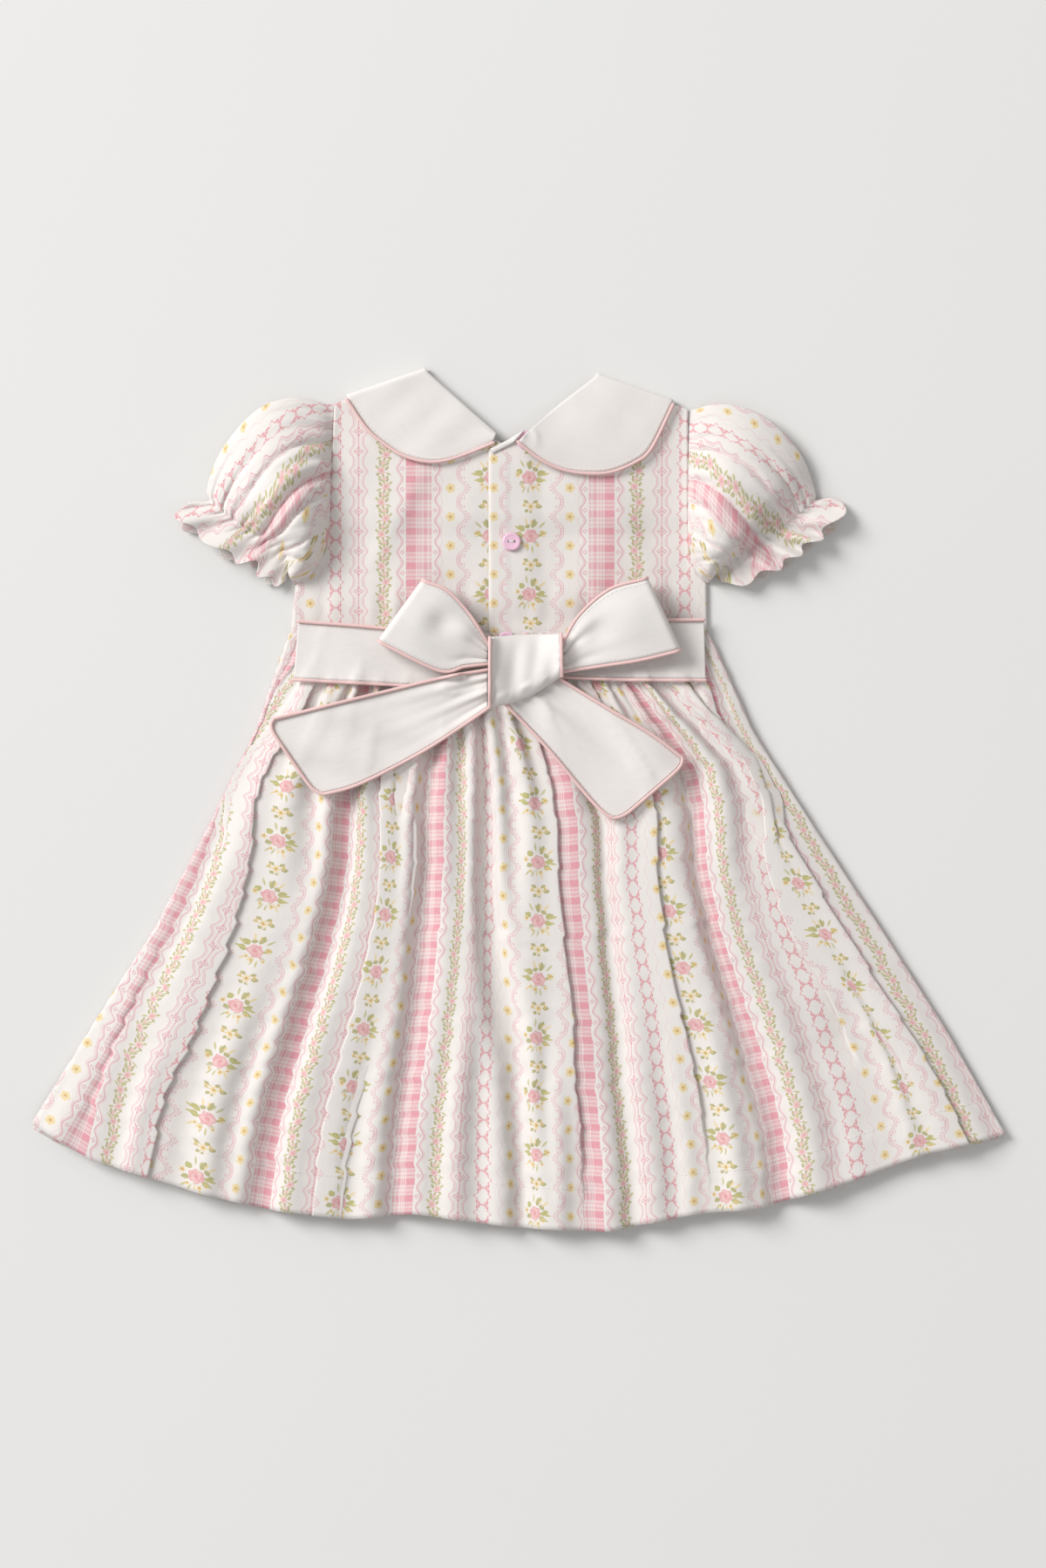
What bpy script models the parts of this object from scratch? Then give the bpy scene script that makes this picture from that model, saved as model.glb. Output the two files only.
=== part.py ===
"""Toddler dress laid flat on its front, back side up.

Units are metres (tables are in millimetres), +Z up off the surface it lies on,
+Y towards the collar, +X towards the wearer's right sleeve.
Cloth is a closed wall of real pieces: bodice, skirt, sleeves, collar, sash and bow.
"""

import math

import bmesh
import bpy
import numpy as np
from mathutils import Vector
from mathutils.bvhtree import BVHTree

MM = 0.001

# ---- cloth ---------------------------------------------------------------------------------
CLOTH = 1.2  # wall of one layer of cotton, mm
DOUBLE = 1.6  # wall of a lined piece: collar, sash, bow
GAP = 0.35  # air between pieces that touch
PIPE_R = 1.3  # piping radius
PIPE_SIDES = 5
PIPE_RISE = 0.8  # a piped panel stands this much higher, on its piping
SMOOTH_ANGLE = 50  # faces that meet at less than this are shaded smooth

# ---- bodice --------------------------------------------------------------------------------
WAIST_Y = 110.7
NECK_LEFT = (-60.4, 282.0)  # where the shoulder seam meets the neck
NECK_RIGHT = (50.6, 278.6)
SHOULDER_LEFT = (-121.9, 262.0)  # where the shoulder seam meets the sleeve
SHOULDER_RIGHT = (112.1, 258.0)
BACK_NECK_Y = 238.0
FRONT_NECK_Y = 222.0
PLACKET_X = -19.8  # free edge of the right back, on top
UNDERLAP = 21.0  # how far the left back runs under it
FRONT_NECK_CURVE = 1.7  # roundness of a neckline: 2 is an ellipse, 1 a straight line
BACK_NECK_CURVE = 1.12
BACK_CROWN = 3.4  # how far the back stands off the front between its edges
CROWN_EASE = 55.0  # width over which it rises
CROWN_TOP = (275, 215)  # and the heights between which it fades to the shoulder
COLLAR_LIFT = 2.0  # the front lies on the front half of the collar
COLLAR_LIFT_FROM = (172, 190)  # heights between which it climbs onto it
BUTTON_X = (-5.0, -4.6, -8.0)
BUTTON_Y = (230.6, 170.5, 104.9)
BUTTON_D = 12.2
BUTTON_HOLE_D = 1.8
BUTTON_HOLE_PITCH = 3.4
BUTTON_TURNS = 12

# Profile of a button from its underside to its dished face: inset from the rim, and height.
BUTTON_PROFILE = [
    {"inset": 0.5, "height": 0.0},
    {"inset": 0.0, "height": 0.6},
    {"inset": 0.0, "height": 1.9},
    {"inset": 0.6, "height": 2.4},
    {"inset": 1.6, "height": 2.4},
    {"inset": 2.2, "height": 1.8},
]

# Side edge of the bodice, from the waist to the shoulder: height and both edges.
SIDES = [
    {"y": 110.7, "left": -150.6, "right": 124.8},
    {"y": 143.0, "left": -147.5, "right": 124.4},
    {"y": 149.0, "left": -137.0, "right": 118.0},
    {"y": 164.7, "left": -128.2, "right": 113.2},
    {"y": 190.0, "left": -124.8, "right": 112.1},
    {"y": 264.2, "left": -121.9, "right": 112.1},
]

# Rows of a bodice panel from the waist to the shoulder, closer where the armhole curves.
BODICE_ROWS = (0.0, 0.11, 0.214, 0.254, 0.305, 0.358, 0.525, 0.69, 0.85, 1.0)

# ---- skirt ---------------------------------------------------------------------------------
SKIRT_CUT = 811.0  # width of the back skirt before it is gathered
SKIRT_AIR = 3.4  # lowest the back skirt comes above the surface
SKIRT_MEAN = 11.0  # mean height of its folds
STEEPEST = 1.35  # no part of the folded cloth is steeper than this, in radians
SIDE_Z = 5.0  # height of the rolled side edge
SIDE_EASE = 20.0  # width over which the side comes down to it
SEAM_SHARE = 0.55  # height of the folds at the waist seam, as a share
LEVEL_REACH = 55.0  # folds stand on cloth levelled over this width
GATHERS = 20
GATHER_SWAY = (0.8, 61.0)  # unevenness of the gathers, and how far apart it repeats
FRONT_RIPPLE = 0.45  # half height of the ripples in the front skirt
FRONT_RIPPLES = 9.5
HALF_HEM = 322.0  # half the width of the skirt at the hem
SKIRT_COLUMNS = 86
SKIRT_ROWS = (0.0, 0.08, 0.2, 0.36, 0.56, 0.78, 1.0)

# Outer edges of the skirt laid out: share of the drop, and both edges.
FLARE = [
    {"drop": 0.0, "left": -150.6, "right": 124.8},
    {"drop": 0.2, "left": -173.1, "right": 154.7},
    {"drop": 0.4, "left": -204.7, "right": 197.2},
    {"drop": 0.6, "left": -239.2, "right": 240.9},
    {"drop": 0.8, "left": -280.6, "right": 283.5},
    {"drop": 1.0, "left": -322.0, "right": 322.0},
]

# Hem laid out, from the left side to the right.
HEM = [
    {"x": -322.0, "y": -214.2},
    {"x": -282.0, "y": -238.0},
    {"x": -210.0, "y": -260.0},
    {"x": -164.0, "y": -271.0},
    {"x": -112.0, "y": -277.0},
    {"x": -69.0, "y": -273.5},
    {"x": 3.0, "y": -283.0},
    {"x": 60.0, "y": -284.9},
    {"x": 118.0, "y": -273.5},
    {"x": 160.0, "y": -269.5},
    {"x": 210.0, "y": -255.5},
    {"x": 267.0, "y": -234.5},
    {"x": 322.0, "y": -221.7},
]

# Share of the cloth that the modelled folds carry; tucks too fine to model take the rest.
CARRIED = [
    {"drop": 0.0, "share": 0.66},
    {"drop": 0.36, "share": 0.80},
    {"drop": 1.0, "share": 0.97},
]

# Main folds of the back skirt. Each is a valley with a wall on either side of it.
#   mid, hem: place on the cut cloth, at a third of the drop and at the hem
#   wall: width of cloth in each wall
#   takeMid, takeHem: cloth the fold takes up at those places
#   lean: share of that taken by the right wall; over 0.5 tucks the valley under it
FOLDS = [
    {"mid": 45, "hem": 40, "wall": 22, "takeMid": 13, "takeHem": 2, "lean": 0.5},
    {"mid": 96, "hem": 97, "wall": 32, "takeMid": 43, "takeHem": 17, "lean": 0.35},
    {"mid": 184, "hem": 180, "wall": 26, "takeMid": 21, "takeHem": 12, "lean": 0.5},
    {"mid": 243, "hem": 243, "wall": 34, "takeMid": 50, "takeHem": 40, "lean": 0.68},
    {"mid": 316, "hem": 323, "wall": 24, "takeMid": 20, "takeHem": 9, "lean": 0.5},
    {"mid": 377, "hem": 411, "wall": 24, "takeMid": 24, "takeHem": 13, "lean": 0.6},
    {"mid": 452, "hem": 461, "wall": 26, "takeMid": 29, "takeHem": 8, "lean": 0.62},
    {"mid": 502, "hem": 502, "wall": 17, "takeMid": 12, "takeHem": 5, "lean": 0.5},
    {"mid": 556, "hem": 554, "wall": 24, "takeMid": 23, "takeHem": 8, "lean": 0.6},
    {"mid": 608, "hem": 611, "wall": 25, "takeMid": 30, "takeHem": 17, "lean": 0.4},
    {"mid": 684, "hem": 690, "wall": 28, "takeMid": 34, "takeHem": 3, "lean": 0.6},
    {"mid": 750, "hem": 761, "wall": 32, "takeMid": 45, "takeHem": 38, "lean": 0.6},
]
FOLD_MID = 0.33  # share of the drop where the mid columns hold
FOLD_SEAM = 0.35  # share of a fold's take at the waist seam

# ---- sleeves -------------------------------------------------------------------------------
# Each edge of the sleeve laid out, as seen from above.
SLEEVE_LEFT = {
    "armhole": [(-123.4, 260.6), (-126.2, 188.3), (-129.6, 165.2), (-139.0, 149.4), (-149.6, 144.2)],
    "crown": [(-123.4, 260.6), (-148.9, 265.4), (-173.6, 256.4), (-195.5, 231.4), (-205.6, 207.0),
              (-203.8, 197.6)],
    "elastic": [(-203.8, 197.6), (-186.3, 183.1), (-169.9, 173.4), (-154.5, 163.5), (-152.5, 150.4)],
    "ruffle": [(-223.7, 192.6), (-207.0, 171.8), (-186.3, 157.3), (-169.9, 147.5), (-154.8, 142.0)],
}
SLEEVE_RIGHT = {
    "armhole": [(113.4, 257.0), (113.4, 190.0), (114.8, 164.7), (119.8, 150.2), (126.6, 144.6)],
    "crown": [(113.4, 257.0), (135.1, 261.5), (163.6, 251.8), (185.7, 228.6), (195.5, 205.0),
              (195.8, 197.6)],
    "elastic": [(195.8, 197.6), (182.8, 187.5), (163.6, 172.4), (146.0, 160.5), (130.4, 149.4)],
    "ruffle": [(214.9, 196.5), (201.8, 173.5), (180.8, 158.8), (162.0, 149.6), (134.0, 142.0)],
}
# Rings along a sleeve: place from armhole (0) to elastic (1), then the ruffle (2), and height.
SLEEVE_RINGS = [
    {"at": 0.0, "height": 8.0, "wave": 0.0},
    {"at": 0.14, "height": 21.0, "wave": 0.8},
    {"at": 0.38, "height": 32.0, "wave": 0.6},
    {"at": 0.72, "height": 30.0, "wave": 0.6},
    {"at": 1.0, "height": 13.0, "wave": 1.0},
    {"at": 1.45, "height": 13.0, "wave": 1.8},
    {"at": 2.0, "height": 16.0, "wave": 3.0},
]
SLEEVE_POINTS = 30
SLEEVE_GATHERS = 8

# ---- collar --------------------------------------------------------------------------------
# Each half is laid on the back, rolls over the shoulder seam and goes on under the front.
COLLAR_ROLL = 2.6  # how far the roll reaches past the seam
COLLAR_EASE = 0.2  # its piping stands this much further out
COLLAR_LEFT = {
    "neck": [(-14.6, 242.0), (-37.0, 262.0), (-60.4, 283.0)],
    "edge": [(-16.8, 236.4), (-33.9, 229.4), (-48.3, 224.8), (-60.9, 224.0), (-75.9, 228.0),
             (-88.5, 236.0), (-100.0, 246.0), (-113.0, 265.0)],
    "under": [(-12.0, 220.0), (-44.0, 233.0), (-60.4, 283.0)],
    "underEdge": [(-12.0, 214.0), (-44.0, 200.0), (-80.0, 202.0), (-103.0, 230.0), (-113.0, 265.0)],
}
COLLAR_RIGHT = {
    "neck": [(5.0, 241.4), (26.0, 260.6), (50.6, 279.6)],
    "edge": [(0.0, 236.6), (14.4, 225.4), (29.9, 218.5), (45.4, 216.2), (60.7, 217.1),
             (76.6, 223.6), (87.0, 232.6), (101.4, 261.6)],
    "under": [(-8.0, 220.0), (34.0, 231.0), (50.6, 279.6)],
    "underEdge": [(-8.0, 214.0), (33.0, 197.0), (69.0, 199.0), (93.0, 226.0), (101.4, 261.6)],
}
NECK_BINDING = {
    "top": [(-18.6, 231.6), (-6.0, 238.0), (3.6, 243.8)],
    "bottom": [(-17.4, 228.6), (-6.0, 234.4), (-1.6, 237.6)],
}

# ---- sash and bow --------------------------------------------------------------------------
SASH_LEFT = {
    "top": [(-145.6, 116.8), (-94.3, 112.8), (-23.0, 105.0)],
    "bottom": [(-148.4, 80.0), (-71.3, 75.8), (-23.0, 72.0)],
}
SASH_RIGHT = {
    "top": [(122.6, 118.0), (84.0, 116.4), (31.8, 106.0)],
    "bottom": [(123.4, 79.6), (69.6, 80.0), (31.8, 81.6)],
}
LOOP_LEFT = {
    "top": [(-22.0, 104.6), (-33.0, 121.0), (-47.0, 136.0), (-61.0, 142.0)],
    "bottom": [(-22.0, 93.0), (-36.0, 88.6), (-52.0, 86.0), (-89.0, 103.6)],
}
LOOP_RIGHT = {
    "top": [(30.6, 103.0), (40.6, 120.4), (60.0, 137.0), (82.0, 143.6)],
    "bottom": [(30.6, 86.0), (54.0, 89.0), (80.0, 93.0), (103.0, 98.4)],
}
LOOP_PUFF = 13.0  # how far the two layers of a loop stand apart at its end
LOOP_ROOT = 4.0  # and where it enters the knot
LOOP_ROLL = 3.6  # how far the fold at its end reaches past them
TAIL_LEFT = {
    "top": [(-22.0, 84.2), (-48.9, 79.6), (-93.1, 69.0), (-163.4, 50.6)],
    "bottom": [(-22.0, 60.2), (-60.1, 34.6), (-104.1, 13.0), (-132.4, 6.0)],
}
TAIL_RIGHT = {
    "top": [(30.8, 73.4), (60.9, 57.8), (88.0, 41.4), (108.6, 22.6)],
    "bottom": [(-2.0, 56.6), (19.7, 34.4), (51.6, -1.6), (66.0, -12.0)],
}
KNOT = {
    "top": [(-18.0, 106.8), (4.0, 108.8), (27.0, 109.2)],
    "bottom": [(-18.0, 60.6), (6.0, 67.6), (27.6, 81.0)],
}
KNOT_RISE = 8.0  # how far the knot stands above what it is tied over
KNOT_ROUND = 0.6  # under 1 is a fuller knot than a sine
KNOT_EASE = 0.4  # its piping stands this much further out
STIFF_REACH = 5.0  # the sash and bow bridge dips narrower than twice this
COLLAR_REACH = 4.0
KNOT_REACH = 3.5
SOFT_REACH = 2.5

COLOURS = {
    "print_cotton": ((0.90, 0.84, 0.80), 0.85),
    "plain_cotton": ((0.93, 0.91, 0.88), 0.82),
    "pink_piping": ((0.90, 0.62, 0.64), 0.8),
    "button": ((0.86, 0.56, 0.72), 0.3),
}


# ---- curves --------------------------------------------------------------------------------
def smooth_path(points, count):
    """Points at even spacing along a Catmull-Rom curve through the given ones."""
    knots = np.array(points, float)
    ends = np.vstack([2 * knots[0] - knots[1], knots, 2 * knots[-1] - knots[-2]])
    fine = []
    for i in range(len(knots) - 1):
        a, b, c, d = ends[i : i + 4]
        for t in np.linspace(0, 1, 12, endpoint=False):
            fine.append(
                0.5 * (2 * b + (c - a) * t + (2 * a - 5 * b + 4 * c - d) * t**2 + (3 * b - a - 3 * c + d) * t**3)
            )
    fine = np.array(fine + [knots[-1]])
    length = np.concatenate([[0], np.cumsum(np.linalg.norm(np.diff(fine, axis=0), axis=1))])
    at = np.linspace(0, length[-1], count)
    return np.stack([np.interp(at, length, fine[:, i]) for i in range(knots.shape[1])], axis=1)


def column(rows, name):
    return np.array([row[name] for row in rows], float)


def smoothstep(low, high, x):
    t = np.clip((np.asarray(x, float) - low) / (high - low), 0, 1)
    return t * t * (3 - 2 * t)


def ruled(top, bottom, across, along):
    """Grid between two paths: along x across x 2."""
    a, b = smooth_path(bottom, along), smooth_path(top, along)
    s = np.linspace(0, 1, across)[None, :, None]
    return a[:, None, :] * (1 - s) + b[:, None, :] * s


# ---- solids --------------------------------------------------------------------------------
def normals(grid):
    du = np.gradient(grid, axis=0)
    dv = np.gradient(grid, axis=1)
    n = np.cross(du, dv)
    return n / np.maximum(np.linalg.norm(n, axis=2, keepdims=True), 1e-9)


def material(name):
    found = bpy.data.materials.get(name)
    if found:
        return found
    colour, roughness = COLOURS[name]
    made = bpy.data.materials.new(name)
    made.use_nodes = True
    shader = made.node_tree.nodes["Principled BSDF"]
    shader.inputs["Base Color"].default_value = (*colour, 1)
    shader.inputs["Roughness"].default_value = roughness
    shader.inputs["Metallic"].default_value = 0.0
    return made


def add_object(name, verts, faces, slot):
    mesh = bpy.data.meshes.new(name)
    mesh.from_pydata([tuple(v) for v in np.asarray(verts, float) * MM], [], faces)
    work = bmesh.new()
    work.from_mesh(mesh)
    bmesh.ops.recalc_face_normals(work, faces=work.faces)
    work.to_mesh(mesh)
    work.free()
    mesh.shade_smooth()
    mesh.set_sharp_from_angle(angle=math.radians(SMOOTH_ANGLE))
    mesh.materials.append(material(slot))
    made = bpy.data.objects.new(name, mesh)
    bpy.context.scene.collection.objects.link(made)
    return made


def wall(name, grid, thickness, slot, upright=False):
    """Closed wall about a grid of points; upright measures the thickness along Z.

    Both sides are cut along the same diagonals, so the wall keeps its thickness where it twists.
    """
    n = normals(grid)
    if np.mean(n[:, :, 2]) < 0 and not upright:
        grid = grid[::-1]
        n = normals(grid)
    if upright:
        n = np.zeros_like(grid)
        n[:, :, 2] = 1
    high = grid + n * thickness / 2
    low = grid - n * thickness / 2
    rows, cols = grid.shape[:2]
    verts = np.vstack([high.reshape(-1, 3), low.reshape(-1, 3)])
    under = rows * cols
    faces = []
    for i in range(rows - 1):
        for j in range(cols - 1):
            a, b, c, d = i * cols + j, (i + 1) * cols + j, (i + 1) * cols + j + 1, i * cols + j + 1
            faces += [(a, b, c), (a, c, d)]
            faces += [(c + under, b + under, a + under), (d + under, c + under, a + under)]
    rim = [i * cols for i in range(rows)]
    rim += [(rows - 1) * cols + j for j in range(1, cols)]
    rim += [i * cols + cols - 1 for i in range(rows - 2, -1, -1)]
    rim += [j for j in range(cols - 2, 0, -1)]
    for a, b in zip(rim, rim[1:] + rim[:1]):
        faces.append((b, a, a + under, b + under))
    return add_object(name, verts, faces, slot)


def pipe(name, path, slot="pink_piping", radius=PIPE_R):
    """Closed round cord along a path."""
    path = np.asarray(path, float)
    tangent = np.gradient(path, axis=0)
    tangent /= np.linalg.norm(tangent, axis=1, keepdims=True)
    side = np.cross(tangent, (0, 0, 1))
    side /= np.linalg.norm(side, axis=1, keepdims=True)
    up = np.cross(side, tangent)
    verts = []
    for p, s, u in zip(path, side, up):
        for k in range(PIPE_SIDES):
            a = 2 * math.pi * (k + 0.5) / PIPE_SIDES
            verts.append(p + radius * (math.cos(a) * s + math.sin(a) * u))
    faces = []
    for i in range(len(path) - 1):
        for k in range(PIPE_SIDES):
            m = (k + 1) % PIPE_SIDES
            a, b = i * PIPE_SIDES, (i + 1) * PIPE_SIDES
            faces.append((a + k, a + m, b + m, b + k))
    faces.append(tuple(range(PIPE_SIDES))[::-1])
    faces.append(tuple((len(path) - 1) * PIPE_SIDES + k for k in range(PIPE_SIDES)))
    return add_object(name, verts, faces, slot)


# ---- laying one piece on another -----------------------------------------------------------
class Pile:
    """The pieces laid so far, for finding how high the next one lies."""

    def __init__(self):
        self.trees = []

    def add(self, made):
        corners = [v.co.copy() for v in made.data.vertices]
        faces = [tuple(f.vertices) for f in made.data.polygons]
        self.trees.append(BVHTree.FromPolygons(corners, faces))
        return made

    def top(self, x, y):
        best = 0.0
        for tree in self.trees:
            hit = tree.ray_cast(Vector((x * MM, y * MM, 1.0)), Vector((0, 0, -1)))
            if hit[0] is not None:
                best = max(best, hit[0].z / MM)
        return best

    def under(self, plan, reach):
        """Highest point below each place of a plan grid and close around it."""
        turns = [(0, 0)] + [
            (reach * math.cos(a), reach * math.sin(a)) for a in np.linspace(0, 2 * math.pi, 8, endpoint=False)
        ]
        rows, cols = plan.shape[:2]
        heights = np.zeros((rows, cols))
        for i in range(rows):
            for j in range(cols):
                x, y = plan[i, j]
                heights[i, j] = max(self.top(x + dx, y + dy) for dx, dy in turns)
        return heights


def spread(heights, rounds):
    """Stiff cloth over a rough pile: never below it, with its dips bridged."""
    top = heights.copy()
    for _ in range(rounds):
        wide = np.pad(top, 1, mode="edge")
        mean = (wide[:-2, 1:-1] + wide[2:, 1:-1] + wide[1:-1, :-2] + wide[1:-1, 2:]) / 4
        top = np.maximum(top, mean)
    return top


SPOTS = [(a, b) for a in np.linspace(0, 1, 6) for b in np.linspace(0, 1, 6)]


def laid(pile, plan, thickness, rise, rounds, reach):
    """A plan grid at the height where a piece of this thickness lies on the pile."""
    clear = GAP + thickness / 2 + rise
    heights = spread(pile.under(plan, reach), rounds) + clear
    for _ in range(3):
        for i in range(plan.shape[0] - 1):
            for j in range(plan.shape[1] - 1):
                for a, b in SPOTS:
                    weight = np.array([[(1 - a) * (1 - b), (1 - a) * b], [a * (1 - b), a * b]])
                    x, y = np.tensordot(weight, plan[i : i + 2, j : j + 2], 2)
                    short = pile.top(x, y) + clear - np.sum(weight * heights[i : i + 2, j : j + 2])
                    if short > 0:
                        heights[i : i + 2, j : j + 2] += short
    return np.dstack([plan, heights])


# ---- bodice --------------------------------------------------------------------------------
def side_edge(y, which):
    return np.interp(y, column(SIDES, "y"), column(SIDES, which))


def bodice_plan(left, right, top, across):
    """Grid of a bodice panel between two side edges and under a top edge."""
    plan = np.zeros((across, len(BODICE_ROWS), 2))
    for i, s in enumerate(np.linspace(0, 1, across)):
        for j, r in enumerate(BODICE_ROWS):
            y_top = top(s)
            y = WAIST_Y + GAP + (y_top - WAIST_Y - GAP) * r
            plan[i, j] = (left(y) * (1 - s) + right(y) * s, y)
    return plan


def crown(plan):
    """Height of a back panel, from nothing at its sides to the full crown."""
    x, y = plan[:, :, 0], plan[:, :, 1]
    inside = np.minimum(x - side_edge(y, "left"), side_edge(y, "right") - x)
    return smoothstep(0, CROWN_EASE, inside) * smoothstep(*CROWN_TOP, y) * BACK_CROWN


def front_lift(plan):
    """Height of the front over the front half of the collar."""
    return smoothstep(*COLLAR_LIFT_FROM, plan[:, :, 1]) * COLLAR_LIFT


def neck_line(shoulder, neck, low_x, low_y, curve):
    """Top edge of half a panel: shoulder seam, then the neckline down to the middle."""

    def top(x):
        sx, sy = shoulder
        nx, ny = neck
        if (x - nx) * (sx - nx) >= 0:
            t = (x - nx) / (sx - nx)
            return ny + (sy - ny) * min(t, 1)
        t = min(abs((x - nx) / (low_x - nx)), 1)
        return low_y + (ny - low_y) * (1 - t**curve) ** (1 / curve)

    return top


def make_bodice(pile):
    centre_x = (NECK_LEFT[0] + NECK_RIGHT[0]) / 2
    left_top = neck_line(SHOULDER_LEFT, NECK_LEFT, centre_x, FRONT_NECK_Y, FRONT_NECK_CURVE)
    right_top = neck_line(SHOULDER_RIGHT, NECK_RIGHT, centre_x, FRONT_NECK_Y, FRONT_NECK_CURVE)

    def front_top(s):
        x = SHOULDER_LEFT[0] + (SHOULDER_RIGHT[0] - SHOULDER_LEFT[0]) * s
        return left_top(x) if x < centre_x else right_top(x)

    plan = bodice_plan(lambda y: side_edge(y, "left"), lambda y: side_edge(y, "right"), front_top, 15)
    grid = np.dstack([plan, front_lift(plan) + CLOTH / 2])
    pile.add(wall("bodice_front", grid, CLOTH, "print_cotton", upright=True))

    under_edge = PLACKET_X + UNDERLAP
    left_top = neck_line(SHOULDER_LEFT, NECK_LEFT, under_edge + 6, BACK_NECK_Y - 8, BACK_NECK_CURVE)
    right_top = neck_line(SHOULDER_RIGHT, NECK_RIGHT, PLACKET_X - 4, BACK_NECK_Y - 4, BACK_NECK_CURVE)

    def left_back_top(s):
        return left_top(SHOULDER_LEFT[0] + (under_edge - SHOULDER_LEFT[0]) * s)

    def right_back_top(s):
        return right_top(PLACKET_X + (SHOULDER_RIGHT[0] - PLACKET_X) * s)

    base_z = CLOTH + GAP + CLOTH / 2
    plan = bodice_plan(lambda y: side_edge(y, "left"), lambda y: under_edge, left_back_top, 9)
    grid = np.dstack([plan, base_z + front_lift(plan) + crown(plan)])
    pile.add(wall("bodice_back_left", grid, CLOTH, "print_cotton", upright=True))
    plan = bodice_plan(lambda y: PLACKET_X, lambda y: side_edge(y, "right"), right_back_top, 12)
    lap = smoothstep(under_edge + 16, under_edge + 4, plan[:, :, 0]) * (CLOTH + 2 * GAP)
    grid = np.dstack([plan, base_z + front_lift(plan) + crown(plan) + lap])
    pile.add(wall("bodice_back_right", grid, CLOTH, "print_cotton", upright=True))


# ---- skirt ---------------------------------------------------------------------------------
def take_share(angle):
    """Share of its cloth that a wall takes up, for the steepest slope it has."""
    half = angle / 2
    turn = np.linspace(0, math.pi, 40)
    return 1 - np.mean(np.cos(half + half * np.cos(turn)))


STEEP = np.linspace(0, 3.0, 61)
SHARE = np.array([take_share(a) for a in STEEP])


def skirt_section(u, drop):
    """Slope of the cloth across the skirt at one share of the drop."""
    slope = np.zeros_like(u)
    down = min(drop / FOLD_MID, 1.0)
    mix = float(smoothstep(FOLD_MID, 1.0, drop))
    for fold in FOLDS:
        place = fold["mid"] * (1 - mix) + fold["hem"] * mix
        take = fold["takeMid"] * (1 - mix) + fold["takeHem"] * mix
        take *= FOLD_SEAM + (1 - FOLD_SEAM) * down
        wide = fold["wall"]
        for side, share in ((-1, 1 - fold["lean"]), (1, fold["lean"])):
            angle = np.interp(min(take * share / wide, SHARE[-1]), SHARE, STEEP)
            at = (u - (place + side * wide / 2)) / wide
            bump = np.where(np.abs(at) < 0.5, 0.5 + 0.5 * np.cos(2 * math.pi * at), 0)
            slope += side * angle * bump
    return slope


def flare(drop):
    """Left and right edges of the skirt at a share of its drop."""
    at = column(FLARE, "drop")
    return np.interp(drop, at, column(FLARE, "left")), np.interp(drop, at, column(FLARE, "right"))


def limited(slope):
    return STEEPEST * np.tanh(slope / STEEPEST)


def hem_line(share):
    return np.interp(HALF_HEM * (2 * share - 1), column(HEM, "x"), column(HEM, "y"))


def skirt_back_surface(u, drops):
    """Folded back skirt: grid of points over cloth place u and share of the drop."""
    hem_share = None
    rows = []
    for drop in drops[::-1]:
        left, right = flare(drop)
        folds = skirt_section(u, drop)
        ripple = np.sin(2 * math.pi * GATHERS * u / SKIRT_CUT + GATHER_SWAY[0] * np.sin(u / GATHER_SWAY[1]))
        low, high = 0.0, 4.0
        step = np.diff(u) * np.interp(drop, column(CARRIED, "drop"), column(CARRIED, "share"))
        for _ in range(24):
            size = (low + high) / 2
            slope = limited(folds + size * ripple)
            run = np.sum(np.cos((slope[1:] + slope[:-1]) / 2) * step)
            low, high = (size, high) if run > right - left else (low, size)
        slope = limited(folds + low * ripple)
        mid_slope = (slope[1:] + slope[:-1]) / 2
        run = np.concatenate([[0], np.cumsum(np.cos(mid_slope) * step)])
        rise = np.concatenate([[0], np.cumsum(np.sin(mid_slope) * step)])
        weight = np.exp(-0.5 * ((u[:, None] - u[None, :]) / LEVEL_REACH) ** 2)
        rise = rise - (weight @ rise) / weight.sum(axis=1)
        share = run / run[-1]
        if hem_share is None:
            hem_share = share
        x = left + share * (right - left)
        y = WAIST_Y - GAP + drop * (hem_line(hem_share) - WAIST_Y + GAP)
        z = SKIRT_MEAN + rise
        z = SKIRT_AIR + CLOTH / 2 + np.logaddexp(0, (z - SKIRT_AIR) / 1.5) * 1.5
        seam = SEAM_SHARE + (1 - SEAM_SHARE) * float(smoothstep(0, 0.12, drop))
        edge = np.minimum(x - left, right - x)
        z = SIDE_Z + (z * seam - SIDE_Z) * smoothstep(-2, SIDE_EASE, edge)
        rows.append(np.stack([x, y, z], axis=1))
    return np.stack(rows[::-1], axis=1)


def make_skirt(pile):
    across = np.linspace(0, 1, 27)
    front = np.zeros((len(across), 6, 3))
    for i, s in enumerate(across):
        for j, drop in enumerate(np.linspace(0, 1, 6)):
            left, right = flare(drop)
            turn = 2 * math.pi * (FRONT_RIPPLES * s + 0.3 * math.sin(9 * s))
            front[i, j] = (
                left + 1 + s * (right - left - 2),
                WAIST_Y - GAP + drop * (hem_line(s) - WAIST_Y + GAP),
                CLOTH / 2 + FRONT_RIPPLE * (1 + math.sin(turn)) * (0.6 + 0.4 * drop),
            )
    front[:, :, 2] -= front[:, :, 2].min() - CLOTH / 2
    pile.add(wall("skirt_front", front, CLOTH, "print_cotton", upright=True))
    back = skirt_back_surface(np.linspace(0, SKIRT_CUT, SKIRT_COLUMNS), np.array(SKIRT_ROWS))
    pile.add(wall("skirt_back", back, CLOTH, "print_cotton"))


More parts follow.
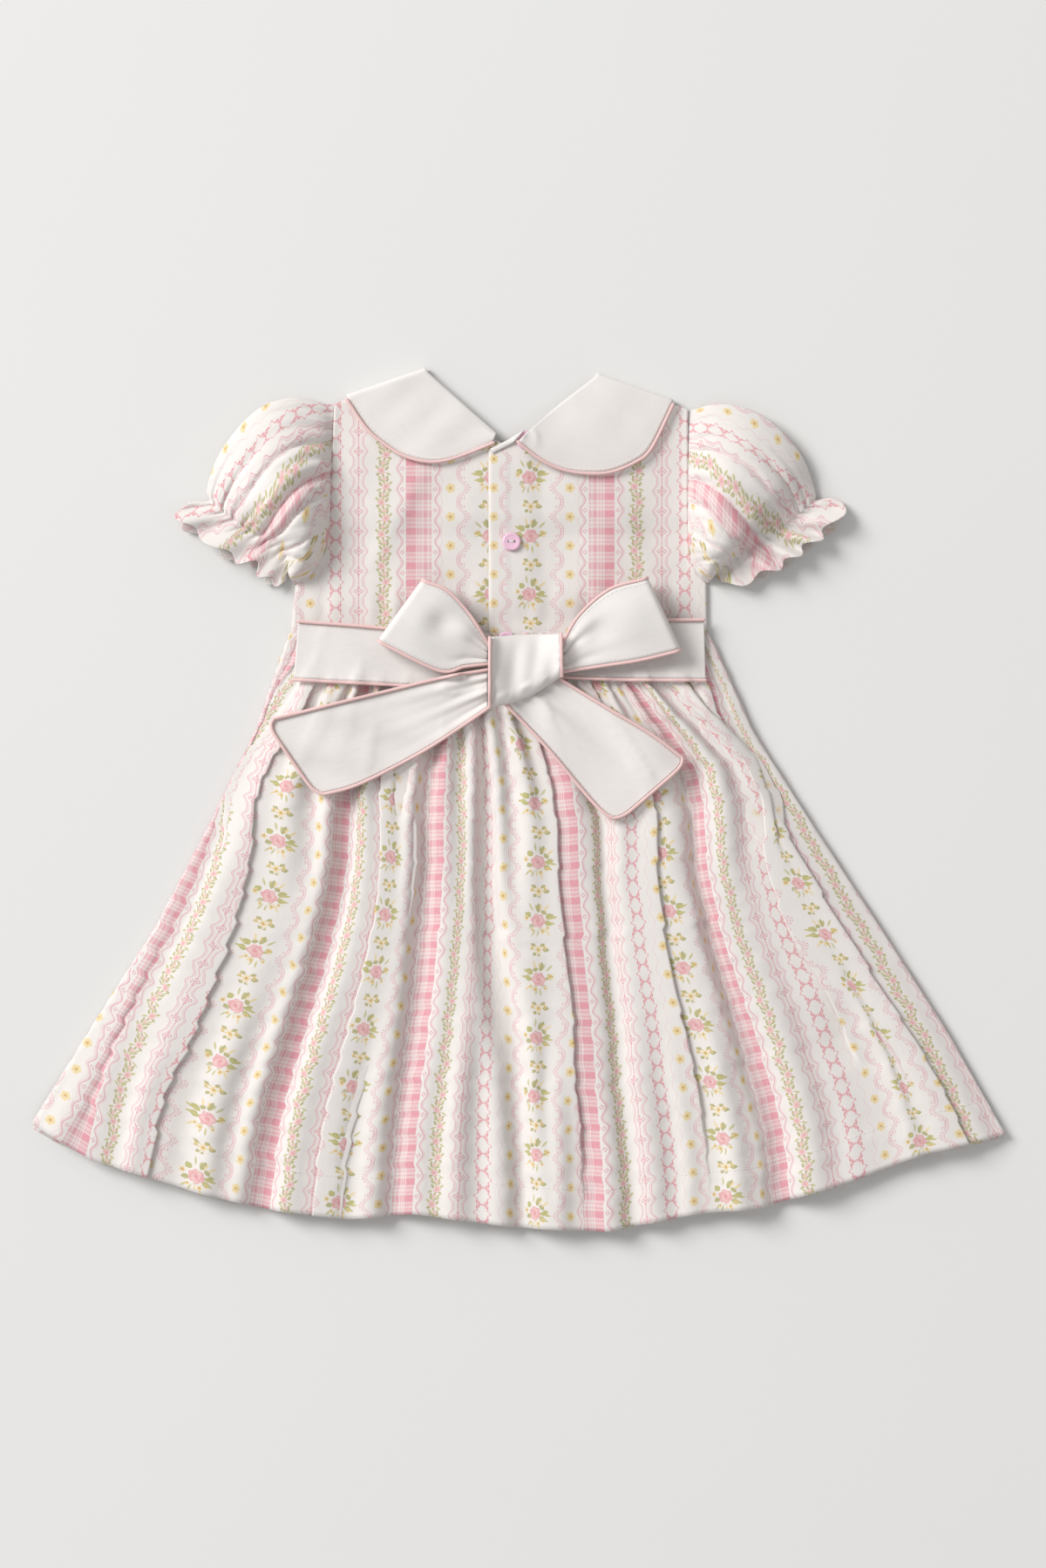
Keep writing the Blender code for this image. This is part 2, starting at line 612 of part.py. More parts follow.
# ---- sleeves -------------------------------------------------------------------------------
def sleeve_plan(edges, at, q):
    """Place seen from above: Coons patch to the elastic, then the ruffle beyond it."""
    arm, elastic = smooth_path(edges["armhole"], 33), smooth_path(edges["elastic"], 33)
    crown_line, ruffle = smooth_path(edges["crown"], 33), smooth_path(edges["ruffle"], 33)
    at_q = np.linspace(0, 1, 33)

    def point(path, t):
        return np.array([np.interp(t, at_q, path[:, 0]), np.interp(t, at_q, path[:, 1])])

    if at > 1:
        return point(elastic, q) * (2 - at) + point(ruffle, q) * (at - 1)
    a, b = point(arm, q), point(elastic, q)
    c, d = point(crown_line, at), arm[-1] * (1 - at) + elastic[-1] * at
    corners = (
        arm[0] * (1 - at) * (1 - q) + arm[-1] * (1 - at) * q + elastic[0] * at * (1 - q) + elastic[-1] * at * q
    )
    return a * (1 - at) + b * at + c * (1 - q) + d * q - corners


def make_sleeve(name, edges, pile):
    half = SLEEVE_POINTS // 2
    rings = []
    for ring in SLEEVE_RINGS:
        middle = 0.34 * ring["height"]
        loop = []
        for k in range(SLEEVE_POINTS):
            upper = k < half
            q = k / half if upper else 2 - k / half
            q = 0.5 - 0.5 * math.cos(math.pi * q)
            place = sleeve_plan(edges, ring["at"], q)
            bulge = max(math.sin(math.pi * q), 0.0)
            gather = ring["wave"] * math.sin(2 * math.pi * SLEEVE_GATHERS * q + 1.1 * ring["at"])
            if upper:
                z = middle + (ring["height"] - middle) * bulge**0.75 + gather * min(3 * bulge, 1)
            else:
                z = middle - (middle - 0.3) * bulge**0.4
            loop.append((place[0], place[1], z))
        rings.append(loop)
    outer = np.array(rings)
    outer = np.concatenate([outer, outer[:, :1]], axis=1)
    n = np.cross(np.gradient(outer, axis=0), np.gradient(outer, axis=1))
    closing = (outer[:, 1] - outer[:, -2]) / 2
    n[:, 0] = n[:, -1] = np.cross(np.gradient(outer, axis=0)[:, 0], closing)
    n /= np.maximum(np.linalg.norm(n, axis=2, keepdims=True), 1e-9)
    middle = outer[:, :-1].mean(axis=1, keepdims=True)
    if np.sum(n * (outer - middle)) < 0:
        n = -n
    inner = (outer - n * CLOTH)[:, :-1]
    outer = outer[:, :-1]
    count = SLEEVE_POINTS
    verts = np.vstack([outer.reshape(-1, 3), inner.reshape(-1, 3)])
    last = len(SLEEVE_RINGS) - 1
    inside = count * (last + 1)
    faces = []
    for k in range(count):
        m = (k + 1) % count
        for i in range(last):
            a, b = i * count, (i + 1) * count
            faces += [(a + k, a + m, b + m), (a + k, b + m, b + k)]
            a, b = a + inside, b + inside
            faces += [(b + m, a + m, a + k), (b + k, b + m, a + k)]
        faces.append((m, k, inside + k, inside + m))
        end = last * count
        faces.append((end + k, end + m, inside + end + m, inside + end + k))
    pile.add(add_object(name, verts, faces, "print_cotton"))


# ---- collar --------------------------------------------------------------------------------
def rolled(top, bottom, reach, turns=(0.5, 0.2, -0.2, -0.5)):
    """Rings that carry the end of one layer round to the end of the layer below it."""
    line = top[-1, :2] - top[0, :2]
    out = np.array([-line[1], line[0]]) / np.linalg.norm(line)
    rings = []
    for turn in turns:
        angle = turn * math.pi
        ring = top.copy()
        ring[:, :2] = (top[:, :2] + bottom[:, :2]) / 2 + out * reach * math.cos(angle)
        ring[:, 2] = (top[:, 2] + bottom[:, 2]) / 2 + (top[:, 2] - bottom[:, 2]) / 2 * math.sin(angle)
        rings.append(ring)
    return rings[1:-1]


def make_collar(side, sheet, pile):
    across = 3
    upper = laid(pile, ruled(sheet["neck"], sheet["edge"], across, 13), DOUBLE, PIPE_RISE, 2, COLLAR_REACH)
    lower = ruled(sheet["under"], sheet["underEdge"], across, 7)
    lower = np.dstack([lower, np.full(lower.shape[:2], DOUBLE / 2)])
    ends = (upper[-1], lower[-1]) if side == "left" else (upper[-1][::-1], lower[-1][::-1])
    roll = rolled(*ends, COLLAR_ROLL)
    roll = roll if side == "left" else [ring[::-1] for ring in roll]
    grid = np.concatenate([upper, np.stack(roll), lower[::-1]])
    pile.add(wall(f"collar_{side}", grid, DOUBLE, "plain_cotton"))
    pile.add(edge_pipe(f"collar_piping_{side}", upper[:, 0], upper.reshape(-1, 3).mean(axis=0), pile, COLLAR_EASE))


# ---- sash and bow --------------------------------------------------------------------------
def make_sash(side, sheet, pile):
    grid = laid(pile, ruled(sheet["top"], sheet["bottom"], 4, 9), DOUBLE, PIPE_RISE, 6, STIFF_REACH)
    pile.add(wall(f"sash_{side}", grid, DOUBLE, "plain_cotton"))
    centre = grid.reshape(-1, 3).mean(axis=0)
    pile.add(edge_pipe(f"sash_piping_{side}_lower", grid[:, 0], centre, pile))
    pile.add(edge_pipe(f"sash_piping_{side}_upper", grid[:, -1], centre, pile))


def make_loop(side, sheet, pile):
    """A loop of the bow: out from the knot along the lower layer and back along the upper."""
    along = 6
    plan = ruled(sheet["top"], sheet["bottom"], 4, along)
    lower = laid(pile, plan, DOUBLE, PIPE_RISE, 6, STIFF_REACH)
    lower[:, :, 2] = lower[:, :, 2].max(axis=1, keepdims=True)
    open_by = smoothstep(-0.1, 0.85, np.linspace(0, 1, along))[:, None]
    across = np.sin(np.linspace(0.15, 0.85, 4) * math.pi)[None, :]
    upper = lower.copy()
    upper[:, :, 2] += DOUBLE + LOOP_ROOT + (LOOP_PUFF - LOOP_ROOT) * open_by * (0.75 + 0.25 * across)
    ends = (upper[-1], lower[-1]) if side == "left" else (upper[-1][::-1], lower[-1][::-1])
    roll = rolled(*ends, LOOP_ROLL)
    roll = roll if side == "left" else [ring[::-1] for ring in roll]
    grid = np.concatenate([upper, np.stack(roll), lower[::-1]])
    pile.add(wall(f"bow_loop_{side}", grid, DOUBLE, "plain_cotton"))
    centre = upper.reshape(-1, 3).mean(axis=0)
    for edge, name in ((0, "lower"), (-1, "upper")):
        away = outward(upper[:, edge], centre)
        away = np.concatenate([away, np.repeat(away[-1:], len(roll), axis=0), away[::-1]])
        path = grid[:, edge].copy()
        path[:, :2] += away * (PIPE_R + 2 * GAP)
        pile.add(pipe(f"bow_loop_piping_{side}_{name}", path))


def make_tail(side, sheet, pile):
    plan = ruled(sheet["top"], sheet["bottom"], 5, 12)
    grid = laid(pile, plan, DOUBLE, PIPE_RISE, 8, STIFF_REACH)
    pile.add(wall(f"bow_tail_{side}", grid, DOUBLE, "plain_cotton"))
    rim = np.concatenate([grid[:, -1], grid[-1, ::-1][1:], grid[::-1, 0][1:]])
    pile.add(edge_pipe(f"bow_tail_piping_{side}", rim, grid.reshape(-1, 3).mean(axis=0), pile))


def make_knot(pile):
    plan = ruled(KNOT["top"], KNOT["bottom"], 9, 7)
    heights = spread(pile.under(plan, KNOT_REACH), 3) + GAP + DOUBLE / 2
    run = np.sin(np.linspace(0, 1, 9) * math.pi) ** KNOT_ROUND
    grid = np.dstack([plan, heights + KNOT_RISE * run[None, :]])
    pile.add(wall("bow_knot", grid, DOUBLE, "plain_cotton"))
    centre = grid.reshape(-1, 3).mean(axis=0)
    pile.add(edge_pipe("bow_knot_piping_left", grid[0], centre, pile, KNOT_EASE))
    pile.add(edge_pipe("bow_knot_piping_right", grid[-1], centre, pile, KNOT_EASE))


def outward(edge, centre):
    """Direction away from a panel at each point of its edge, longer at a corner."""
    step = np.diff(edge[:, :2], axis=0)
    step /= np.linalg.norm(step, axis=1, keepdims=True)
    side = np.stack([step[:, 1], -step[:, 0]], axis=1)
    before, after = np.vstack([side[:1], side]), np.vstack([side, side[-1:]])
    mitre = (before + after) / (1 + np.sum(before * after, axis=1, keepdims=True))
    return mitre if np.sum((edge[:, :2] - centre[:2]) * mitre) > 0 else -mitre


def edge_pipe(name, edge, centre, pile, spare=0.0):
    """Piping along an edge of a panel, just outside it and on what lies below."""
    path = np.array(edge, float)
    path[:, :2] += outward(path, centre) * (PIPE_R + GAP + spare)
    clear = PIPE_R + GAP
    for _ in range(2):
        for i in range(len(path) - 1):
            for t in np.linspace(0, 1, 7):
                x, y, z = path[i] * (1 - t) + path[i + 1] * t
                nearby = [(0, 0), (PIPE_R, 0), (-PIPE_R, 0), (0, PIPE_R), (0, -PIPE_R)]
                short = max(pile.top(x + dx, y + dy) for dx, dy in nearby) + clear - z
                if 0 < short < 3:
                    path[i : i + 2, 2] += short
    return pipe(name, path)


# ---- buttons and binding -------------------------------------------------------------------
def make_button(number, x, y, pile):
    """Two-hole button turned from its profile, with the holes cut through."""
    name = f"button_{number}"
    base = max(pile.top(x + dx, y + dy) for dx in (-5, 0, 5) for dy in (-5, 0, 5)) + GAP
    radius = BUTTON_D / 2
    verts, faces, turns = [], [], BUTTON_TURNS
    for ring in BUTTON_PROFILE:
        for k in range(turns):
            a = 2 * math.pi * k / turns
            r = radius - ring["inset"]
            verts.append((x + r * math.cos(a), y + r * math.sin(a), base + ring["height"]))
    last = len(BUTTON_PROFILE) - 1
    for i in range(last):
        for k in range(turns):
            m = (k + 1) % turns
            faces.append((i * turns + k, i * turns + m, (i + 1) * turns + m, (i + 1) * turns + k))
    faces.append(tuple(range(turns))[::-1])
    faces.append(tuple(last * turns + k for k in range(turns)))
    made = add_object(name, verts, faces, "button")
    for side in (-1, 1):
        bpy.ops.mesh.primitive_cylinder_add(
            vertices=6,
            radius=BUTTON_HOLE_D / 2 * MM,
            depth=3 * BUTTON_PROFILE[-1]["height"] * MM,
            location=((x + side * BUTTON_HOLE_PITCH / 2) * MM, y * MM, base * MM),
        )
        cutter = bpy.context.object
        cutter.name = f"{name}_hole_{side + 2}"
        cutter.hide_render = True
        cutter.display_type = "WIRE"
        cut = made.modifiers.new(cutter.name, "BOOLEAN")
        cut.operation = "DIFFERENCE"
        cut.object = cutter
    pile.add(made)


def make_binding(pile):
    """End of the neck binding, which shows between the collar halves."""
    plan = ruled(NECK_BINDING["top"], NECK_BINDING["bottom"], 3, 5)
    pile.add(wall("neck_binding", laid(pile, plan, CLOTH, 0, 2, SOFT_REACH), CLOTH, "plain_cotton"))


# ---- build ---------------------------------------------------------------------------------
def clear_scene():
    for old in list(bpy.data.objects):
        bpy.data.objects.remove(old, do_unlink=True)


def build():
    clear_scene()
    pile = Pile()
    make_bodice(pile)
    make_skirt(pile)
    make_sleeve("sleeve_left", SLEEVE_LEFT, pile)
    make_sleeve("sleeve_right", SLEEVE_RIGHT, pile)
    for number, (x, y) in enumerate(zip(BUTTON_X, BUTTON_Y), 1):
        make_button(number, x, y, pile)
    make_binding(pile)
    make_collar("left", COLLAR_LEFT, pile)
    make_collar("right", COLLAR_RIGHT, pile)
    make_sash("left", SASH_LEFT, pile)
    make_sash("right", SASH_RIGHT, pile)
    make_loop("left", LOOP_LEFT, pile)
    make_loop("right", LOOP_RIGHT, pile)
    make_tail("left", TAIL_LEFT, pile)
    make_tail("right", TAIL_RIGHT, pile)
    make_knot(pile)


build()
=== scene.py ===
import math

import bpy
import numpy as np
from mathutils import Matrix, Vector
from mathutils.bvhtree import BVHTree


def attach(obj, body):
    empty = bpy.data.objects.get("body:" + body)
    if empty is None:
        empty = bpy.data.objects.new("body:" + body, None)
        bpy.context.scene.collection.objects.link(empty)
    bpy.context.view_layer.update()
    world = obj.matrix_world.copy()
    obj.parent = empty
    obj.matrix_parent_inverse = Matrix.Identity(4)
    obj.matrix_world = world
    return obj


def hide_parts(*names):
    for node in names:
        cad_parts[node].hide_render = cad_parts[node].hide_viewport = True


# Toddler dress laid flat, back side up. Sizes are in millimetres, meshes in metres.
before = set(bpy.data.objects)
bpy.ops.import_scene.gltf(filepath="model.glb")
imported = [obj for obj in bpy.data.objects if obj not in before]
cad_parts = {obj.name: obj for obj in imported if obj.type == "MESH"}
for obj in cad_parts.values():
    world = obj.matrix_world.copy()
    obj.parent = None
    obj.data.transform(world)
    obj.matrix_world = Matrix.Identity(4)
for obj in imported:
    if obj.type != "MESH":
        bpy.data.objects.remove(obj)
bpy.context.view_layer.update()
mm = 0.001

cloth = {
    "wall": 0.6,  # one layer of printed cotton
    "linedWall": 1.0,  # collar, sash and bow
    "gap": 0.35,  # air between pieces that touch
    "pipeRadius": 1.1,
    "pipeSides": 12,
}


# Curves and grids
def smoothPath(points, count):
    knots = np.array(points, float)
    ends = np.vstack([2 * knots[0] - knots[1], knots, 2 * knots[-1] - knots[-2]])
    fine = []
    for i in range(len(knots) - 1):
        a, b, c, d = ends[i:i + 4]
        for t in np.linspace(0, 1, 24, endpoint=False):
            bend = (2 * a - 5 * b + 4 * c - d) * t**2 + (3 * b - a - 3 * c + d) * t**3
            fine.append(0.5 * (2 * b + (c - a) * t + bend))
    fine = np.array(fine + [knots[-1]])
    length = runAlong(fine)
    at = np.linspace(0, length[-1], count)
    return np.stack([np.interp(at, length, fine[:, i]) for i in range(knots.shape[1])], axis=1)


def runAlong(points):
    # Length from the start of a line to each of its points
    return np.concatenate([[0], np.cumsum(np.linalg.norm(np.diff(points, axis=0), axis=1))])


def smoothLine(values, reach=4):
    weight = np.hanning(2 * reach + 1)
    return np.convolve(np.pad(values, reach, mode="edge"), weight / weight.sum(), "valid")


def closedRound(grid):
    # The first column again after the last, for a grid that goes all the way round
    return np.concatenate([grid, grid[:, :1]], axis=1)


def column(rows, name):
    return np.array([row[name] for row in rows], float)


def smoothstep(low, high, x):
    t = np.clip((np.asarray(x, float) - low) / (high - low), 0, 1)
    return t * t * (3 - 2 * t)


def peak(x, at, wide):
    # 1 at one place, fading over this distance to both sides
    return np.exp(-(((x - at) / wide) ** 2))


def ruled(top, bottom, across, along):
    a, b = smoothPath(bottom, along), smoothPath(top, along)
    s = np.linspace(0, 1, across)[None, :, None]
    return a[:, None, :] * (1 - s) + b[:, None, :] * s


def blur(field, sigmaRows, sigmaCols):
    for axis, sigma in ((0, sigmaRows), (1, sigmaCols)):
        if sigma <= 0:
            continue
        reach = int(3 * sigma) + 1
        weight = np.exp(-0.5 * (np.arange(-reach, reach + 1) / sigma) ** 2)
        weight /= weight.sum()
        pad = [(reach, reach) if k == axis else (0, 0) for k in (0, 1)]
        wide = np.pad(field, pad, mode="edge")
        field = np.apply_along_axis(lambda line: np.convolve(line, weight, "valid"), axis, wide)
    return field


def waves(x, y, parts):
    # Soft undulation: each part is (height, wave length, direction in degrees, shift)
    total = np.zeros_like(x)
    for height, length, direction, shift in parts:
        a = math.radians(direction)
        total += height * np.sin(math.tau * (x * math.cos(a) + y * math.sin(a)) / length + shift)
    return total


def gridNormals(grid, wrap=False):
    if wrap:
        wide = np.concatenate([grid[:, -1:], grid, grid[:, :1]], axis=1)
        across = np.gradient(wide, axis=1)[:, 1:-1]
    else:
        across = np.gradient(grid, axis=1)
    n = np.cross(np.gradient(grid, axis=0), across)
    return n / np.maximum(np.linalg.norm(n, axis=2, keepdims=True), 1e-9)


# Meshes
def gridFaces(at, acrossFirst=False):
    # Corners of every square in a grid of point numbers
    corners = [at[:-1, :-1], at[1:, :-1], at[1:, 1:], at[:-1, 1:]]
    if acrossFirst:
        corners = [corners[k] for k in (0, 3, 2, 1)]
    return np.stack(corners, axis=2).reshape(-1, 4)


def evaluatedMesh(made, modifier):
    # The mesh that a modifier makes; the modifier is taken off
    bpy.context.view_layer.update()
    mesh = bpy.data.meshes.new_from_object(made.evaluated_get(bpy.context.evaluated_depsgraph_get()))
    made.modifiers.remove(modifier)
    return mesh


def meshObject(name, verts, faces, finish, faceUv=None, caps=(), reverse=None):
    # faces all have the same number of corners; caps are further faces of any size
    mesh = bpy.data.meshes.new(name)
    verts = np.asarray(verts, float) * mm
    faces = np.asarray(faces, int)
    sides = faces.shape[1]
    corners = np.concatenate([faces.ravel()] + [np.asarray(cap, int) for cap in caps])
    sizes = [sides] * len(faces) + [len(cap) for cap in caps]
    starts = np.cumsum([0] + sizes[:-1])
    mesh.vertices.add(len(verts))
    mesh.vertices.foreach_set("co", verts.astype(np.float32).ravel())
    mesh.loops.add(len(corners))
    mesh.loops.foreach_set("vertex_index", corners)
    mesh.polygons.add(len(starts))
    mesh.polygons.foreach_set("loop_start", starts)
    mesh.update(calc_edges=True)
    uv = np.zeros((len(corners), 2), np.float32)
    if faceUv is not None:
        uv[: faces.size] = np.asarray(faceUv, float) * mm
    mesh.uv_layers.new(name="cloth").data.foreach_set("uv", uv.ravel())
    mesh.shade_smooth()
    mesh.materials.append(finish)
    if reverse:
        mesh.materials.append(reverse[0])
        index = np.zeros(len(starts), int)
        index[reverse[1] : reverse[2]] = 1
        mesh.polygons.foreach_set("material_index", index)
    made = bpy.data.objects.new(name, mesh)
    bpy.context.scene.collection.objects.link(made)
    return made


def surfaceUv(grid):
    # The cloth's own measure across and along a grid, from its middle row and column
    across = np.linalg.norm(np.diff(grid, axis=1), axis=2)
    along = np.linalg.norm(np.diff(grid, axis=0), axis=2)
    u = np.concatenate([[0], np.cumsum(across[len(grid) // 2])])
    v = np.concatenate([[0], np.cumsum(along[:, grid.shape[1] // 2])])
    return np.stack(np.meshgrid(u, v), axis=2)


def clothArea(grid):
    a, b = grid[1:, 1:] - grid[:-1, :-1], grid[1:, :-1] - grid[:-1, 1:]
    return float(np.sum(np.linalg.norm(np.cross(a, b), axis=2)) / 2) * mm * mm


def clothShell(name, grid, uv, wall, finish, wrap=False, reverse=None, outward=None):
    # Thin closed wall about a grid of points; uv is the cloth's own place in millimetres.
    # It faces up, or away from the points outward gives for each row.
    n = gridNormals(grid, wrap)
    facing = n[:, :, 2] if outward is None else np.sum(n * (grid - outward), axis=2)
    turned = np.sum(facing) < 0
    if turned:
        n = -n
    high, low = grid + n * wall / 2, grid - n * wall / 2
    rows, cols = grid.shape[:2]
    under = rows * cols
    index = np.arange(under).reshape(rows, cols)
    uvIndex = np.arange(rows * uv.shape[1]).reshape(rows, uv.shape[1])
    if wrap:
        index = closedRound(index)
    top, topUv = gridFaces(index), gridFaces(uvIndex)
    faces, uvFaces = [top, top[:, ::-1] + under], [topUv, topUv[:, ::-1]]
    rims = [(index[0], uvIndex[0], False), (index[-1], uvIndex[-1], True)]
    if not wrap:
        rims += [(index[:, 0], uvIndex[:, 0], True), (index[:, -1], uvIndex[:, -1], False)]
    for line, uvLine, turn in rims:
        quad = np.stack([line[:-1], line[1:], line[1:] + under, line[:-1] + under], axis=1)
        uvQuad = np.stack([uvLine[:-1], uvLine[1:], uvLine[1:], uvLine[:-1]], axis=1)
        faces.append(quad[:, ::-1] if turn else quad)
        uvFaces.append(uvQuad[:, ::-1] if turn else uvQuad)
    faces, uvFaces = np.vstack(faces), np.vstack(uvFaces)
    if turned:
        faces, uvFaces = faces[:, ::-1], uvFaces[:, ::-1]
    back = (reverse, len(top), 2 * len(top)) if reverse else None
    verts = np.vstack([high.reshape(-1, 3), low.reshape(-1, 3)])
    return meshObject(name, verts, faces, finish, uv.reshape(-1, 2)[uvFaces.ravel()], reverse=back)


def cordMesh(name, path, radius, finish, sides=cloth["pipeSides"]):
    # Round cord with closed, rounded ends; uv runs along it and round it
    path = np.asarray(path, float)
    tangent = np.gradient(path, axis=0)
    tangent /= np.linalg.norm(tangent, axis=1, keepdims=True)
    side = np.cross(tangent, (0, 0, 1))
    side /= np.maximum(np.linalg.norm(side, axis=1, keepdims=True), 1e-9)
    up = np.cross(side, tangent)
    turn = (math.tau * np.arange(sides) / sides)[None, :, None]
    ring = np.cos(turn) * side[:, None, :] + np.sin(turn) * up[:, None, :]
    last = len(path) - 1
    # two smaller rings round off each end: point, size and distance out, in radii
    ends = [(0, 0.35, -0.75), (0, 0.8, -0.4), (last, 0.8, 0.4), (last, 0.35, 0.75)]
    rings = [path[i] + radius * size * ring[i] + tangent[i] * out * radius for i, size, out in ends]
    grid = np.concatenate([np.stack(rings[:2]), path[:, None, :] + radius * ring, np.stack(rings[2:])])
    rows = len(grid)
    index = closedRound(np.arange(rows * sides).reshape(rows, sides))
    length = runAlong(path)
    beyond = np.array([radius, 2 * radius])
    along = np.concatenate([-beyond[::-1], length, length[-1] + beyond])
    uv = np.stack(np.meshgrid(np.linspace(0, math.tau * radius, sides + 1), along), axis=2)
    uvIndex = np.arange(rows * (sides + 1)).reshape(rows, sides + 1)
    faces, uvFaces = gridFaces(index, True), gridFaces(uvIndex, True)
    caps = [index[0, :-1][::-1], index[-1, :-1]]
    points = grid.reshape(-1, 3)
    a, b, c = (points[faces[0, k]] for k in (0, 1, 2))
    if np.dot(np.cross(b - a, c - b), a - path[0]) < 0:
        faces, uvFaces, caps = faces[:, ::-1], uvFaces[:, ::-1], [cap[::-1] for cap in caps]
    return meshObject(name, points, faces, finish, uv.reshape(-1, 2)[uvFaces.ravel()], caps=caps)


# The pile of cloth so far: its height over the surface, a value for each millimetre
pile = {"west": -170, "south": -30, "wide": 320, "deep": 330}
pileHeight = np.zeros((pile["wide"], pile["deep"]))


def addToPile(made):
    mesh = made.data
    corners = np.zeros(len(mesh.vertices) * 3, np.float32)
    mesh.vertices.foreach_get("co", corners)
    corners = corners.reshape(-1, 3) / mm
    tree = BVHTree.FromPolygons(corners.tolist(), [tuple(f.vertices) for f in mesh.polygons])

    def span(axis, start, size):
        low, high = corners[:, axis].min() - start, corners[:, axis].max() - start
        return range(max(int(low), 0), min(int(high) + 2, size))

    above, down = 200, Vector((0, 0, -1))
    for i in span(0, pile["west"], pile["wide"]):
        for j in span(1, pile["south"], pile["deep"]):
            hit = tree.ray_cast(Vector((pile["west"] + i, pile["south"] + j, above)), down)[0]
            if hit is not None and hit.z > pileHeight[i, j]:
                pileHeight[i, j] = hit.z
    return made


def pileTop(x, y, reach=0.0):
    def at(px, py):
        i = np.clip(px - pile["west"], 0, pile["wide"] - 1.001)
        j = np.clip(py - pile["south"], 0, pile["deep"] - 1.001)
        i0, j0 = i.astype(int), j.astype(int)
        return np.max([pileHeight[i0 + a, j0 + b] for a in (0, 1) for b in (0, 1)], axis=0)

    best = at(x, y)
    if reach > 0:
        for turn in np.linspace(0, math.tau, 8, endpoint=False):
            best = np.maximum(best, at(x + reach * math.cos(turn), y + reach * math.sin(turn)))
    return best


def layOn(plan, clear, reach, soft, rounds=6):
    # Heights at which a stiff sheet lies on the pile: over its crests, bridging the dips
    raw = pileTop(plan[:, :, 0], plan[:, :, 1], reach) + clear
    height = raw.copy()
    for _ in range(rounds):
        height = np.maximum(blur(height, *soft), raw)
    height = blur(height, soft[0] / 3, soft[1] / 3)
    return height + np.maximum(blur(np.maximum(raw - height, 0), 1, 1) * 1.5, 0)


def nextPlace(tree):
    # Room for the next node in the editor, twelve to a column
    column, row = divmod(len(tree.nodes), 12)
    return 180 * column, -160 * row


# Shader arithmetic: a Field is a socket that can be added, multiplied and so on
class Field:
    def __init__(self, tree, socket):
        self.tree, self.socket = tree, socket

    def apply(self, operation, *others, clamp=False):
        node = self.tree.nodes.new("ShaderNodeMath")
        node.operation, node.use_clamp = operation, clamp
        node.location = nextPlace(self.tree)
        for socket, value in zip(node.inputs, (self,) + others):
            if isinstance(value, Field):
                self.tree.links.new(value.socket, socket)
            else:
                socket.default_value = value
        return Field(self.tree, node.outputs[0])

    def __add__(self, other):
        return self.apply("ADD", other)

    def __sub__(self, other):
        return self.apply("SUBTRACT", other)

    def __mul__(self, other):
        return self.apply("MULTIPLY", other)

    def __truediv__(self, other):
        return self.apply("DIVIDE", other)

    def plus(self, scale, shift, clamp=False):
        return self.apply("MULTIPLY_ADD", scale, shift, clamp=clamp)

    def past(self, place):
        return self.plus(1, -place)

    def size(self):
        return self.apply("ABSOLUTE")

    def sin(self):
        return self.apply("SINE")

    def cos(self):
        return self.apply("COSINE")

    def most(self, other):
        return self.apply("MAXIMUM", other)

    def least(self, other):
        return self.apply("MINIMUM", other)

    def over(self, limit):
        return self.apply("GREATER_THAN", limit)

    def cell(self, pitch):
        # place inside its repeat, from -pitch/2 to pitch/2
        return self.plus(1, pitch / 2).apply("FLOORED_MODULO", pitch).plus(1, -pitch / 2)

    def row(self, pitch):
        return self.plus(1 / pitch, 0.5).apply("FLOOR")

    def wave(self, pitch, shift=0.0):
        return self.plus(math.tau / pitch, shift).cos()

    def line(self, width, soft=0.35):
        # 1 on a line of this width where the field is zero
        return self.size().plus(-1 / soft, width / 2 / soft + 0.5, clamp=True)

    def inside(self, limit, soft=0.35):
        return self.plus(-1 / soft, limit / soft + 0.5, clamp=True)


def mixColour(tree, under, over, share):
    node = tree.nodes.new("ShaderNodeMix")
    node.data_type = "RGBA"
    node.location = nextPlace(tree)
    for socket, value in ((node.inputs[6], under), (node.inputs[7], over)):
        if isinstance(value, tuple):
            socket.default_value = (*value, 1)
        else:
            tree.links.new(value, socket)
    if isinstance(share, Field):
        tree.links.new(share.socket, node.inputs[0])
    else:
        node.inputs[0].default_value = share
    return node.outputs[2]


def setInputs(node, values):
    for name, value in values.items():
        node.inputs[name].default_value = value


def noiseField(tree, where, values):
    node = tree.nodes.new("ShaderNodeTexNoise")
    setInputs(node, values)
    tree.links.new(where, node.inputs["Vector"])
    return Field(tree, node.outputs["Fac"])


def splitCloth(tree, source):
    # Places across and along the cloth
    split = tree.nodes.new("ShaderNodeSeparateXYZ")
    tree.links.new(source.outputs["Cloth mm"], split.inputs[0])
    return Field(tree, split.outputs[0]), Field(tree, split.outputs[1])


def nodeGroup(name, inputs, outputs):
    tree = bpy.data.node_groups.new(name, "ShaderNodeTree")
    for title, kind, value in inputs:
        socket = tree.interface.new_socket(name=title, in_out="INPUT", socket_type=kind)
        if value is not None:
            socket.default_value = value
    for title, kind in outputs:
        tree.interface.new_socket(name=title, in_out="OUTPUT", socket_type=kind)
    return tree, tree.nodes.new("NodeGroupInput"), tree.nodes.new("NodeGroupOutput")


